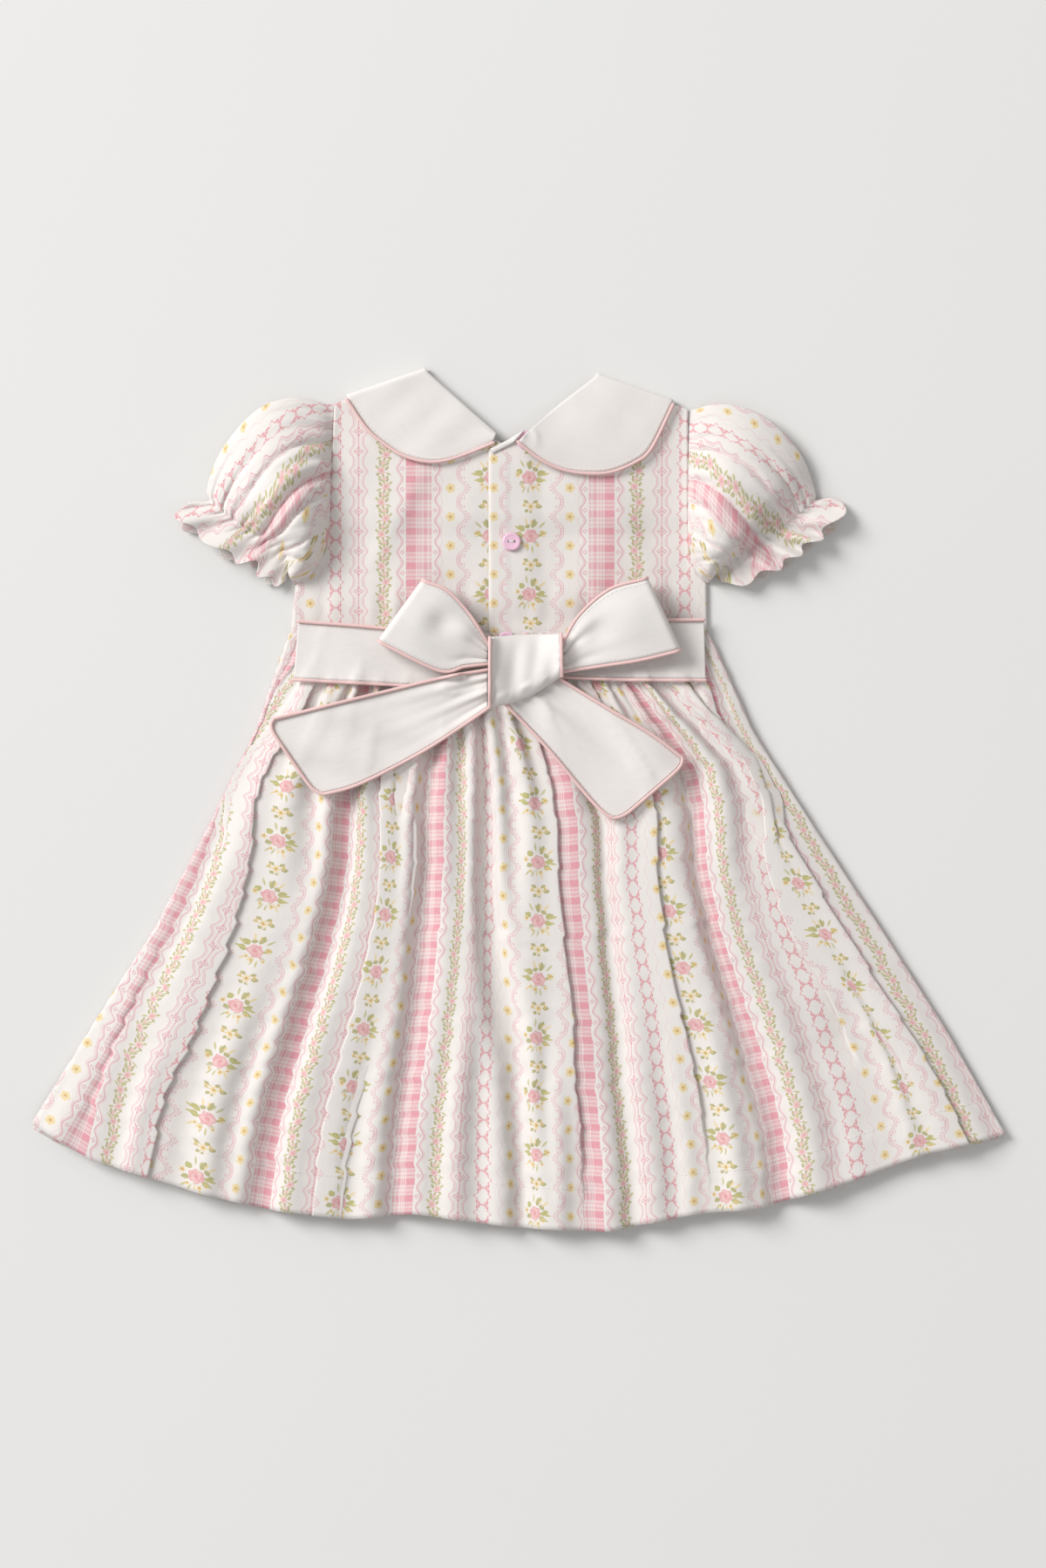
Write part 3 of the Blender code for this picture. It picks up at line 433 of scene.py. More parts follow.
# The printed stripe, as the cloth is cut: places across it from the middle of the bouquets
stripe = {
    "period": 146.05,
    "wrap": 37.0,
    "scallopAt": 20.1, "scallopPitch": 19.0, "scallopSwing": 2.9,
    "daisyAt": 26.6, "waveAt": 33.0, "wavePitch": 13.0,
    "plaidAt": 47.5, "plaidHalf": 8.6, "plaidPitch": 11.4,
    "edgeAt": 12.2, "edgePitch": 13.8,
    "vineAt": 70.7, "vinePitch": 21.0, "budPitch": 10.5,
    "laceAt": 87.4, "lacePitch": 13.2,
    "chainAt": 102.6, "chainPitch": 11.2,
    "bouquetPitch": 38.5, "sprigDrop": 22.3,
}
inks = {
    "ground": (0.742, 0.698, 0.668),
    "lacePink": (0.655, 0.30, 0.345),
    "palePink": (0.70, 0.50, 0.51),
    "plaidPink": (0.672, 0.278, 0.325),
    "coral": (0.665, 0.205, 0.245),
    "rose": (0.65, 0.27, 0.30),
    "blush": (0.73, 0.47, 0.45),
    "leaf": (0.40, 0.37, 0.165),
    "leafPale": (0.475, 0.45, 0.20),
    "gold": (0.56, 0.36, 0.14),
    "butter": (0.735, 0.59, 0.32),
}


def leafRing(angle, radius, count, shift, start, reach, halfWidth):
    # Leaves that point out all round a flower, each of its own length
    turn = angle.plus(count / math.tau, shift)
    number = turn.apply("FLOOR")
    beside = (turn - number).plus(math.tau / count, -math.pi / count)
    long = number.plus(2.4, shift).sin().plus(0.26 * (reach - start), 0.74 * (reach - start))
    along = radius.past(start) / long
    profile = along.most(0).least(1).plus(math.pi, 0).sin() * halfWidth
    within = ((radius * beside).size() - profile).inside(0) * profile.over(0.12)
    return within, number


def blossom(x, y, petals, size, core, deep=0.3):
    # Small flower: its petals and its middle
    radius = (x * x + y * y).apply("SQRT")
    angle = y.apply("ARCTAN2", x)
    edge = (angle * petals).cos().plus(deep * size, (1 - deep) * size)
    return (radius - edge).inside(0), radius.inside(core)


def leafShape(x, y, placeX, placeY, degrees, long, wide):
    # Pointed leaf, as half its length and half its width
    c, d = math.cos(math.radians(degrees)), math.sin(math.radians(degrees))
    along = x.plus(c / long, -(placeX * c + placeY * d) / long) + y * (d / long)
    beside = (y * c - x * d).plus(1, placeX * d - placeY * c).size()
    return ((along * along).plus(wide, -wide) + beside).inside(0)


def buildStripe():
    tree, source, sink = nodeGroup(
        "floralStripe",
        [("Cloth mm", "NodeSocketVector", None), ("Fade", "NodeSocketFloat", 0.0)],
        [("Color", "NodeSocketColor"), ("Ink", "NodeSocketFloat")],
    )
    u, v = splitCloth(tree, source)
    p = u.plus(1, stripe["wrap"]).apply("FLOORED_MODULO", stripe["period"]).past(stripe["wrap"])
    away = p.size()
    layers = []

    def ink(name, mask):
        layers.append((name, mask))

    # Scalloped lace on both sides of the bouquets: two lines, dots, and a fan in each bulge
    pitch = stripe["scallopPitch"]
    swing = v.wave(pitch)
    bend = swing.plus(stripe["scallopSwing"], stripe["scallopAt"]) - v.wave(pitch / 2) * 0.6
    off = away - bend
    ink("palePink", off.plus(1, 0.85).line(1.7) * 0.18)
    ink("lacePink", off.line(0.5) * 0.85)
    ink("lacePink", off.plus(1, 1.75).line(0.45) * 0.7)
    dots = v.wave(1.75).inside(-0.1, 0.7)
    ink("lacePink", off.plus(1, 3.1).line(0.8) * dots * swing.plus(-1.5, 0.6, clamp=True))
    fanX, fanY = away.past(stripe["scallopAt"] - 2.2), v.cell(pitch)
    fanR = (fanX * fanX + fanY * fanY).apply("SQRT")
    rays = (fanY.apply("ARCTAN2", fanX) * 11.0).cos().plus(2.2, -0.8, clamp=True)
    ink("lacePink", fanR.past(2.9).line(1.7) * rays * fanX.over(-0.8))

    # Daisies in the hollows of the lace
    daisyV = v.plus(1, pitch / 2).cell(pitch)
    petals, core = blossom(away.past(stripe["daisyAt"]), daisyV, 5, 3.4, 0.95, 0.1)
    near = away.inside(36)
    ink("butter", petals * near)
    ring, _ = blossom(away.past(stripe["daisyAt"]), daisyV, 5, 2.0, 1, 0.2)
    ink("gold", ring * near * 0.2)
    ink("gold", core * near)
    trail = away - v.wave(stripe["wavePitch"]).plus(1.3, stripe["waveAt"])
    ink("palePink", trail.line(0.5) * 0.7)

    # Plaid ribbon: a wide band and fine lines one way, bars and fine lines the other
    t = p.past(stripe["plaidAt"])
    within = t.size().inside(stripe["plaidHalf"])
    upright = t.past(5.3).size().inside(3.3, 0.5)
    for place, wide, strength in ((0.6, 0.9, 0.8), (-1.3, 0.8, 0.8), (-4.3, 2.3, 0.75), (-7.6, 0.9, 0.7)):
        upright = upright.most(t.past(place).line(wide, 0.45) * strength)
    rise = v.cell(stripe["plaidPitch"])
    bar = rise.size().inside(2.3, 0.5).most(rise.size().past(4.2).line(0.8, 0.45) * 0.8)
    strength = (upright * 0.40 + bar * 0.36).plus(1, 0.12) + upright * bar * 0.12
    ink("plaidPink", within * strength)

    # Wavy edges of the ribbon, with a small diamond in each bay
    edge = t.size() - v.wave(stripe["edgePitch"]).plus(1.6, stripe["edgeAt"])
    ink("palePink", edge.past(0.7).line(1.6) * 0.4)
    ink("lacePink", edge.line(0.7) * 0.95)
    ink("lacePink", edge.past(1.3).line(0.4) * 0.45)
    diamond = t.size().past(10.9).size() + v.cell(stripe["edgePitch"]).size()
    ink("lacePink", diamond.past(1.3).line(0.7) * 0.9)

    # Vine: small leaves at all angles on both sides of a stem, and a rosebud every few leaves
    stem = p.past(stripe["vineAt"]) - v.wave(stripe["vinePitch"]) * 0.9
    ink("leafPale", stem.line(0.45) * 0.7)
    cell = v.plus(1, 2.0)
    mirror = cell.row(stripe["budPitch"]).apply("FLOORED_MODULO", 2).plus(-2, 1)
    vineX, vineY = stem * mirror, cell.cell(stripe["budPitch"])
    for placeX, placeY, degrees, long, wide, tint in (
        (-3.0, 1.6, 125, 2.0, 0.95, "leaf"), (3.5, 2.3, 40, 1.9, 0.9, "leafPale"),
        (-0.9, 3.4, 105, 1.9, 0.9, "leafPale"), (1.7, 4.4, 60, 1.9, 0.9, "leaf"),
        (-3.0, 4.5, 145, 1.8, 0.85, "leaf"), (-3.4, -2.1, 205, 1.9, 0.85, "leafPale"),
        (0.4, -3.3, 80, 1.7, 0.85, "leaf"), (3.6, -2.2, -25, 1.8, 0.85, "leaf"),
        (-2.0, -4.4, 120, 1.7, 0.8, "leaf"), (3.0, -4.3, 35, 1.7, 0.8, "leafPale"),
    ):
        ink(tint, leafShape(vineX, vineY, placeX, placeY, degrees, long, wide) * 0.9)
    petals, core = blossom(vineX.past(0.8), vineY, 5, 2.75, 1.0, 0.15)
    ink("blush", petals)
    ink("rose", core * 0.6)
    between = vineY.past(5.25).cell(stripe["budPitch"])
    petals, core = blossom(vineX.past(0.2), between, 5, 1.7, 0.5, 0.15)
    ink("blush", petals * 0.85)

    # Lace insertion: a dotted line between wavy borders, with four dots in each swelling
    t = p.past(stripe["laceAt"])
    swell = v.wave(stripe["lacePitch"])
    border = t.size() - swell.plus(1.35, 4.4) - v.wave(stripe["lacePitch"] / 2) * 0.35
    ink("palePink", border.plus(1, 0.6).line(1.3) * 0.35)
    ink("lacePink", border.line(0.5) * 0.8)
    ink("lacePink", border.plus(1, 1.3).line(0.4) * 0.5)
    ink("palePink", t.line(0.7) * 0.6)
    ink("lacePink", t.line(1.0) * v.wave(1.4).inside(0.1, 0.9) * 0.9)
    motif = t.size().past(1.9).size() + v.cell(stripe["lacePitch"]).size()
    ink("lacePink", motif.past(1.2).line(0.7))
    motif = t.size() + v.cell(stripe["lacePitch"]).size().past(2.2).size()
    ink("lacePink", motif.past(0.9).line(0.6) * 0.9)

    # Chain: two ribbons that swell and meet, tied with a small bow at each meeting
    t = p.past(stripe["chainAt"]).size()
    w = v.cell(stripe["chainPitch"]).size()
    ribbonAt = v.wave(stripe["chainPitch"]).plus(1.15, 3.2) + v.wave(stripe["chainPitch"] / 3) * 0.7
    ink("coral", (t - ribbonAt).line(0.6, 0.45))
    meet = w.plus(-1, stripe["chainPitch"] / 2)
    bar = (meet - (t * 0.9).cos() * 0.45).line(0.5, 0.45) * t.inside(2.0) * 0.8
    ink("coral", bar)
    curlX, curlY = t.past(2.6), meet.past(1.3)
    curl = (curlX * curlX + curlY * curlY).apply("SQRT")
    ink("coral", curl.past(0.8).line(0.5) * 0.9)

    # Bouquets, in three forms, with a sprig between each two
    number = v.row(stripe["bouquetPitch"])
    form = number.apply("FLOORED_MODULO", 3)
    mirror = form.size().inside(0.5).plus(-2, 1)
    bx, by = p * mirror, v.cell(stripe["bouquetPitch"])
    cx, cy = bx.plus(1, 0.6), by.plus(1, 3.2)
    radius = (cx * cx + cy * cy * 1.25).apply("SQRT")
    angle = cy.apply("ARCTAN2", cx)
    upward = cy.over(1.0)
    turned = angle + form * 0.31
    leaf, leafNumber = leafRing(turned, radius - upward * 1.6, 11, 0.35, 4.2, 11.6, 1.75)
    skip = leafNumber.plus(2.9, 0.4).sin().over(-0.45)
    ink("leaf", leaf * skip * cy.plus(0.22, 1.5, clamp=True))
    vein = leafNumber.plus(1.7, 0.4).sin().over(0.1)
    ink("leafPale", leaf * vein * skip * 0.9)
    spray, sprayNumber = leafRing(turned, radius - upward * 1.2, 17, 0.1, 6.5, 13.8, 0.72)
    right = cx.over(-1.0)
    ink("butter", spray * right * sprayNumber.plus(2.1, 0.3).sin().over(-0.3))
    ink("leafPale", spray * sprayNumber.plus(1.3, 1.1).sin().over(0.3) * 0.9)
    for flowerX, flowerY, size in ((-8.3, 1.8, 2.3), (2.8, -6.6, 2.1), (6.4, -4.6, 1.7), (-4.6, -6.0, 1.6)):
        petals, core = blossom(cx.past(flowerX), cy.past(flowerY), 5, size, size * 0.4)
        ink("butter", petals)
        ink("gold", core * 0.9)
    bloom = (angle * 6 + form).cos().plus(0.4, 4.9)
    rose = (radius - bloom).inside(0)
    spiral = (radius.plus(1.6, 0) - angle * 2.0 + form).sin()
    fold = ((radius * 2.1).cos() * 0.6 + spiral).plus(1.2, 0.1, clamp=True)
    rim = (radius - bloom).plus(1, 0.45).line(0.6)
    ink("blush", rose)
    ink("rose", rose * (fold * 0.6).most(radius.inside(1.5) * 0.8).most(rim * 0.7))
    sy = v.plus(1, stripe["sprigDrop"]).cell(stripe["bouquetPitch"])
    sx = p.past(0.6)
    far = (sx * sx + sy * sy * 1.6).apply("SQRT")
    bearing = sy.apply("ARCTAN2", sx)
    sprig, sprigNumber = leafRing(bearing, far, 8, 0.5, 3.0, 8.6, 1.5)
    ink("leaf", sprig * sy.size().inside(4.2, 1.0) * sprigNumber.plus(2.0, 0.2).sin().over(-0.7))
    petals, core = blossom(sx, sy, 6, 3.3, 1.0)
    ink("butter", petals)
    ink("gold", core)
    petals, core = blossom(sx.size().past(4.4), sy.past(1.4), 5, 1.8, 0.7)
    ink("butter", petals)
    ink("gold", core * 0.8)

    # A little of the ground shows through every ink, as on printed lawn
    seen = noiseField(tree, source.outputs["Cloth mm"], {"Scale": 0.9, "Detail": 2.0})
    patch = seen.plus(0.6, 0.6, clamp=True)
    strong = patch * Field(tree, source.outputs["Fade"]).plus(-1, 1)
    colour = inks["ground"]
    total = None
    for name, mask in layers:
        colour = mixColour(tree, colour, inks[name], mask.least(1) * strong)
        total = mask if total is None else total.most(mask)
    tree.links.new(colour, sink.inputs["Color"])
    tree.links.new(total.socket, sink.inputs["Ink"])
    return tree


def buildWeave():
    # Plain weave: threads over and under each other, uneven as spun cotton is
    tree, source, sink = nodeGroup(
        "cottonWeave",
        [("Cloth mm", "NodeSocketVector", None), ("Thread mm", "NodeSocketFloat", 0.36)],
        [("Height", "NodeSocketFloat"), ("Tone", "NodeSocketFloat")],
    )
    pitch = Field(tree, source.outputs["Thread mm"])
    warp, weft = ((place / pitch).plus(math.pi, 0).sin() for place in splitCloth(tree, source))
    check = (warp * weft).plus(0.5, 0.5)
    stretch = tree.nodes.new("ShaderNodeMapping")
    stretch.inputs["Scale"].default_value = (2.6, 0.35, 1.0)
    tree.links.new(source.outputs["Cloth mm"], stretch.inputs["Vector"])
    yarn = noiseField(tree, stretch.outputs["Vector"], {"Scale": 0.35, "Detail": 3.0})
    tree.links.new((check * 0.6 + yarn * 0.8).socket, sink.inputs["Height"])
    tree.links.new(yarn.plus(0.10, 0.95).socket, sink.inputs["Tone"])
    return tree


def buildCrumple():
    # Small soft creases, and a slow change of tone over the piece that comes from the same crease height, so
    # the hollows of the creases get slight painted shade
    tree, source, sink = nodeGroup(
        "softCreasesAndPaintedShade",
        [("Cloth mm", "NodeSocketVector", None), ("Size mm", "NodeSocketFloat", 26.0)],
        [("Height", "NodeSocketFloat"), ("Tone", "NodeSocketFloat")],
    )
    shrink = tree.nodes.new("ShaderNodeVectorMath")
    shrink.operation = "DIVIDE"
    tree.links.new(source.outputs["Cloth mm"], shrink.inputs[0])
    tree.links.new(source.outputs["Size mm"], shrink.inputs[1])
    soft = noiseField(
        tree, shrink.outputs["Vector"], {"Scale": 1.0, "Detail": 3.0, "Roughness": 0.45, "Distortion": 0.6}
    )
    tree.links.new(soft.socket, sink.inputs["Height"])
    # painted shade: the tone is a little darker where the crease height is low, in the crease hollows, and
    # lighter on their crests
    tree.links.new(soft.plus(0.06, 0.97).socket, sink.inputs["Tone"])
    return tree


clothFinish = {
    "weaveBump": 0.06, "weaveDistance": 0.12, "creaseBump": 0.35, "creaseDistance": 0.9,
    "roughness": 0.88, "sheen": 0.12, "specular": 0.25,
}
stripeGroup, weaveGroup, crumpleGroup = buildStripe(), buildWeave(), buildCrumple()


def groupNode(tree, group, place, vector):
    node = tree.nodes.new("ShaderNodeGroup")
    node.node_tree = group
    node.location = place
    tree.links.new(vector, node.inputs["Cloth mm"])
    return node


def scaled(tree, vector, scale, place):
    node = tree.nodes.new("ShaderNodeVectorMath")
    node.operation, node.location = "SCALE", place
    for socket, value in ((node.inputs[0], vector), (node.inputs["Scale"], scale)):
        if isinstance(value, bpy.types.NodeSocket):
            tree.links.new(value, socket)
        else:
            socket.default_value = value
    return node.outputs["Vector"]


def bumpNode(tree, height, strength, distance, place):
    node = tree.nodes.new("ShaderNodeBump")
    node.location = place
    setInputs(node, {"Strength": strength, "Distance": distance * mm})
    tree.links.new(height, node.inputs["Height"])
    return node


def newMaterial(name):
    made = bpy.data.materials.new(name)
    made.use_nodes = True
    return made, made.node_tree, made.node_tree.nodes["Principled BSDF"]


def cottonFinish(name, ground=None, thread=0.36, crease=1.0, fade=0.0):
    # Cotton of one colour, or printed with the stripe where no ground is given
    made, tree, shader = newMaterial(name)
    setInputs(shader, {"Sheen Weight": clothFinish["sheen"], "Specular IOR Level": clothFinish["specular"]})
    where = tree.nodes.new("ShaderNodeUVMap")
    where.uv_map = "cloth"
    where.location = (-1400, 0)
    vector = scaled(tree, where.outputs["UV"], 1 / mm, (-1200, 0))
    weave = groupNode(tree, weaveGroup, (-950, -200), vector)
    weave.inputs["Thread mm"].default_value = thread
    crumple = groupNode(tree, crumpleGroup, (-950, -450), vector)
    if ground is None:
        pattern = groupNode(tree, stripeGroup, (-950, 150), vector)
        pattern.inputs["Fade"].default_value = fade
        ground = pattern.outputs["Color"]
    # the weave's own tone, times the crease tone that paints slight shade into the crease hollows
    tone = Field(tree, weave.outputs["Tone"]) * Field(tree, crumple.outputs["Tone"])
    tree.links.new(scaled(tree, ground, tone.socket, (-450, 150)), shader.inputs["Base Color"])
    rough = Field(tree, weave.outputs["Height"]).plus(-0.08, clothFinish["roughness"] + 0.04)
    tree.links.new(rough.socket, shader.inputs["Roughness"])
    creases = bumpNode(
        tree, crumple.outputs["Height"], clothFinish["creaseBump"] * crease, clothFinish["creaseDistance"],
        (-450, -300),
    )
    threads = bumpNode(
        tree, weave.outputs["Height"], clothFinish["weaveBump"], clothFinish["weaveDistance"], (-250, -300)
    )
    tree.links.new(creases.outputs["Normal"], threads.inputs["Normal"])
    tree.links.new(threads.outputs["Normal"], shader.inputs["Normal"])
    return made


def plasticFinish(name, colour, rough):
    # Pearly plastic: slow swirls of a lighter tone, and fine scuffs
    made, tree, shader = newMaterial(name)
    where = tree.nodes.new("ShaderNodeTexCoord").outputs["Object"]
    swirl = noiseField(tree, where, {"Scale": 160, "Detail": 2, "Distortion": 1.5})
    scuff = noiseField(tree, where, {"Scale": 1800})
    light = tuple(min(c * 1.12, 0.95) for c in colour)
    base = mixColour(tree, colour, light, swirl.plus(1.4, -0.2, clamp=True))
    tree.links.new(base, shader.inputs["Base Color"])
    tree.links.new(scuff.plus(0.14, rough - 0.07).socket, shader.inputs["Roughness"])
    setInputs(shader, {"Coat Weight": 0.25, "Coat Roughness": 0.2})
    return made


printCotton = cottonFinish("printCotton")
printBack = cottonFinish("printCottonReverse", fade=0.55)
plainCotton = cottonFinish("plainCotton", (0.748, 0.712, 0.685), thread=0.32, crease=0.8)
pipingCotton = cottonFinish("pipingCotton", (0.78, 0.54, 0.52), thread=0.45, crease=0.3)
threadWhite = cottonFinish("threadWhite", (0.74, 0.71, 0.69), thread=0.2, crease=0.2)
buttonPlastic = plasticFinish("buttonPlastic", (0.76, 0.48, 0.61), 0.36)
print("finishes made")


pieces = {}
flatSizes = {}  # cut of each sheet in metres, and its area where the cut isn't a rectangle


def keep(made, node):
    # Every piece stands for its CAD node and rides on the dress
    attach(made, "root")
    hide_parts(node)
    pieces[node] = made
    return made


def panelName(node):
    return node.replace("_", "-") + "-cloth"


# Stitches: short strands along a line, made by one node tree
stitch = {"long": 2.3, "pitch": 3.1, "thread": 0.42, "lift": 0.06, "seed": 7, "sizes": (0.9, 1.06)}


def buildStitches():
    tree = bpy.data.node_groups.new("stitchRow", "GeometryNodeTree")
    face = tree.interface
    face.new_socket(name="Line", in_out="INPUT", socket_type="NodeSocketGeometry")
    for name in ("Stitch mm", "Pitch mm", "Thread mm"):
        face.new_socket(name=name, in_out="INPUT", socket_type="NodeSocketFloat")
    face.new_socket(name="Thread", in_out="INPUT", socket_type="NodeSocketMaterial")
    face.new_socket(name="Stitches", in_out="OUTPUT", socket_type="NodeSocketGeometry")

    def node(kind, x, y):
        made = tree.nodes.new(kind)
        made.location = (x, y)
        return made

    def inMetres(name, share, x, y):
        # a share of one of the tree's sizes
        part = node("ShaderNodeMath", x, y)
        part.operation = "MULTIPLY"
        part.inputs[1].default_value = share * mm
        tree.links.new(source.outputs[name], part.inputs[0])
        return part.outputs[0]

    source, sink = node("NodeGroupInput", -900, 0), node("NodeGroupOutput", 1300, 0)
    curve = node("GeometryNodeMeshToCurve", -600, 200)
    spaced = node("GeometryNodeResampleCurve", -300, 200)
    spaced.mode = "LENGTH"
    strand = node("GeometryNodeMeshUVSphere", -600, -250)
    setInputs(strand, {"Segments": 6, "Rings": 5, "Radius": 1.0})
    size = node("ShaderNodeCombineXYZ", -350, -400)
    shaped = node("GeometryNodeTransform", -100, -250)
    tangent = node("GeometryNodeInputTangent", -300, -60)
    aim = node("FunctionNodeAlignRotationToVector", -100, -60)
    aim.axis = "Z"
    uneven = node("FunctionNodeRandomValue", -100, -560)
    uneven.data_type = "FLOAT"
    uneven.inputs["Seed"].default_value = stitch["seed"]
    limits = [i for i in uneven.inputs if i.name in ("Min", "Max") and i.type == "VALUE"]
    for socket, value in zip(limits, stitch["sizes"]):
        socket.default_value = value
    placed = node("GeometryNodeInstanceOnPoints", 200, 100)
    real = node("GeometryNodeRealizeInstances", 450, 100)
    position = node("GeometryNodeInputPosition", 450, -120)
    named = node("GeometryNodeStoreNamedAttribute", 700, 100)
    named.data_type, named.domain = "FLOAT2", "CORNER"
    named.inputs["Name"].default_value = "cloth"
    finish = node("GeometryNodeSetMaterial", 1000, 100)
    for k, name in enumerate(("Thread mm", "Thread mm", "Stitch mm")):
        tree.links.new(inMetres(name, 0.5, -600, -450 - 150 * k), size.inputs[k])
    scale = [o for o in uneven.outputs if o.type == "VALUE"][0]
    for output, into, name in (
        (source.outputs["Line"], curve, "Mesh"), (curve.outputs["Curve"], spaced, "Curve"),
        (inMetres("Pitch mm", 1.0, -600, 0), spaced, "Length"),
        (strand.outputs["Mesh"], shaped, "Geometry"), (size.outputs[0], shaped, "Scale"),
        (tangent.outputs[0], aim, "Vector"), (spaced.outputs["Curve"], placed, "Points"),
        (shaped.outputs["Geometry"], placed, "Instance"), (aim.outputs[0], placed, "Rotation"),
        (scale, placed, "Scale"), (placed.outputs["Instances"], real, "Geometry"),
        (real.outputs["Geometry"], named, "Geometry"), (position.outputs[0], named, "Value"),
        (named.outputs["Geometry"], finish, "Geometry"), (source.outputs["Thread"], finish, "Material"),
        (finish.outputs["Geometry"], sink, "Stitches"),
    ):
        tree.links.new(output, into.inputs[name])
    return tree


stitchTree = buildStitches()


def stitchAlong(owner, title, path, thread):
    mesh = bpy.data.meshes.new(f"{owner.name}-{title}")
    steps = [(i, i + 1) for i in range(len(path) - 1)]
    mesh.from_pydata([tuple(point) for point in np.asarray(path) * mm], steps, [])
    row = bpy.data.objects.new(mesh.name, mesh)
    bpy.context.scene.collection.objects.link(row)
    rule = row.modifiers.new("stitches", "NODES")
    rule.node_group = stitchTree
    values = {
        "Stitch mm": stitch["long"], "Pitch mm": stitch["pitch"], "Thread mm": stitch["thread"],
        "Thread": thread,
    }
    for socket in stitchTree.interface.items_tree:
        if socket.name in values and socket.in_out == "INPUT":
            rule[socket.identifier] = values[socket.name]
    row.data = evaluatedMesh(row, rule)
    row.data.polygons.foreach_set("use_smooth", [True] * len(row.data.polygons))
    row.parent = owner


def stitchPanel(node, title, line):
    # A row on the upper face of a lined panel that lies nearly level
    above = np.array([0, 0, cloth["linedWall"] / 2 + stitch["lift"]])
    stitchAlong(pieces[node], title, line + above, threadWhite)


# Bodice
bodice = {
    "waistY": 110.7,
    "neckLeft": (-60.4, 282.0), "neckRight": (50.6, 278.6),
    "shoulderLeft": (-121.9, 262.0), "shoulderRight": (112.1, 258.0),
    "frontNeckY": 222.0, "backNeckY": 236.0, "frontNeckCurve": 0.9, "backNeckCurve": 0.78,
    "placketX": -19.8, "underlap": 21.0, "lapRise": 1.5, "facingRise": 0.4, "edgeDip": 0.5, "edgeWidth": 0.9,
    "backZ": 2.15, "crown": 3.4, "crownEase": 55.0, "crownTop": (275, 215),
    "collarLift": 2.0, "collarLiftFrom": (172, 190),
    "facing": 13.0,  # width of the doubled edge at the buttons
    "seamRidge": 0.8, "seamWidth": 2.6, "waistLap": 3.0, "waistLift": 0.95,
    "edgeStretch": 1.13, "bouquetRight": 7.3, "bouquetLeft": -18.4, "bouquetY": 177.4,
    "frontShift": 12,  # the print of the front against that of the back
    "waves": [(0.42, 74, 12, 0.4), (0.32, 43, -34, 2.1), (0.2, 27, 61, 0.7)],
    "gathers": [(0.5, 19, 3, 1.0), (0.35, 13.5, -4, 0.2)],  # above the waist seam
}
# Creases that run in from the armholes: a place on each, its slope and width, and where it fades
armCreases = [
    {"x": -78, "y": 190, "slope": 0.55, "wide": 7.5, "top": (228, 200), "foot": (140, 165)},
    {"x": 70, "y": 185, "slope": -0.5, "wide": 8.5, "top": (220, 196), "foot": (135, 160)},
]
sides = [
    {"y": 110.7, "left": -150.6, "right": 124.8},
    {"y": 143.0, "left": -147.5, "right": 124.4},
    {"y": 149.0, "left": -137.0, "right": 118.0},
    {"y": 164.7, "left": -128.2, "right": 113.2},
    {"y": 190.0, "left": -124.8, "right": 112.1},
    {"y": 264.2, "left": -121.9, "right": 112.1},
]


def sideEdge(y, which):
    return np.interp(y, column(sides, "y"), column(sides, which))


def neckLine(shoulder, neck, lowX, lowY, curve):
    def top(x):
        sx, sy = shoulder
        nx, ny = neck
        if (x - nx) * (sx - nx) >= 0:
            return ny + (sy - ny) * min((x - nx) / (sx - nx), 1)
        t = min(abs((x - nx) / (lowX - nx)), 1)
        return lowY + (ny - lowY) * (1 - t**curve) ** (1 / curve)

    return top


def bodicePlan(left, right, top, across, rows, foot):
    plan = np.zeros((across, rows, 2))
    for i, s in enumerate(np.linspace(0, 1, across)):
        y = foot + (top(s) - foot) * np.linspace(0, 1, rows)
        plan[i, :, 0], plan[i, :, 1] = left(y) * (1 - s) + right(y) * s, y
    return plan


def bodiceHeight(plan):
    # How high the back stands: over the collar's under half, and off the front between its sides
    x, y = plan[:, :, 0], plan[:, :, 1]
    inside = np.minimum(x - sideEdge(y, "left"), sideEdge(y, "right") - x)
    crown = smoothstep(0, bodice["crownEase"], inside) * smoothstep(*bodice["crownTop"], y)
    crown *= 0.25 + 0.75 * smoothstep(bodice["waistY"] + 2, bodice["waistY"] + 26, y)
    ridge = bodice["seamRidge"] * peak(inside, 0, bodice["seamWidth"]) * smoothstep(142, 152, y)
    waist = bodice["waistLift"] * smoothstep(bodice["waistY"] + 10, bodice["waistY"] - 2, y)
    lift = smoothstep(*bodice["collarLiftFrom"], y) * bodice["collarLift"]
    return lift + crown * bodice["crown"] + ridge + waist, inside


def bodiceCreases(plan, inside):
    x, y = plan[:, :, 0], plan[:, :, 1]
    ease = smoothstep(0, 26, inside)
    soft = waves(x, y, bodice["waves"])
    gathers = waves(x, y, bodice["gathers"]) * smoothstep(158, 118, y)
    drag = sum(
        peak(x - crease["x"] - (y - crease["y"]) * crease["slope"], 0, crease["wide"])
        * smoothstep(*crease["top"], y) * smoothstep(*crease["foot"], y) for crease in armCreases
    )
    held = 0.3 + 0.7 * smoothstep(bodice["waistY"], bodice["waistY"] + 16, y)
    return ease * (soft + gathers + 0.9 * drag) * held


centreX = (bodice["neckLeft"][0] + bodice["neckRight"][0]) / 2
shoulderLeft, shoulderRight = bodice["shoulderLeft"], bodice["shoulderRight"]
frontNeck = centreX, bodice["frontNeckY"], bodice["frontNeckCurve"]
leftTop = neckLine(shoulderLeft, bodice["neckLeft"], *frontNeck)
rightTop = neckLine(shoulderRight, bodice["neckRight"], *frontNeck)


def frontTop(s):
    x = shoulderLeft[0] + (shoulderRight[0] - shoulderLeft[0]) * s
    return leftTop(x) if x < centreX else rightTop(x)


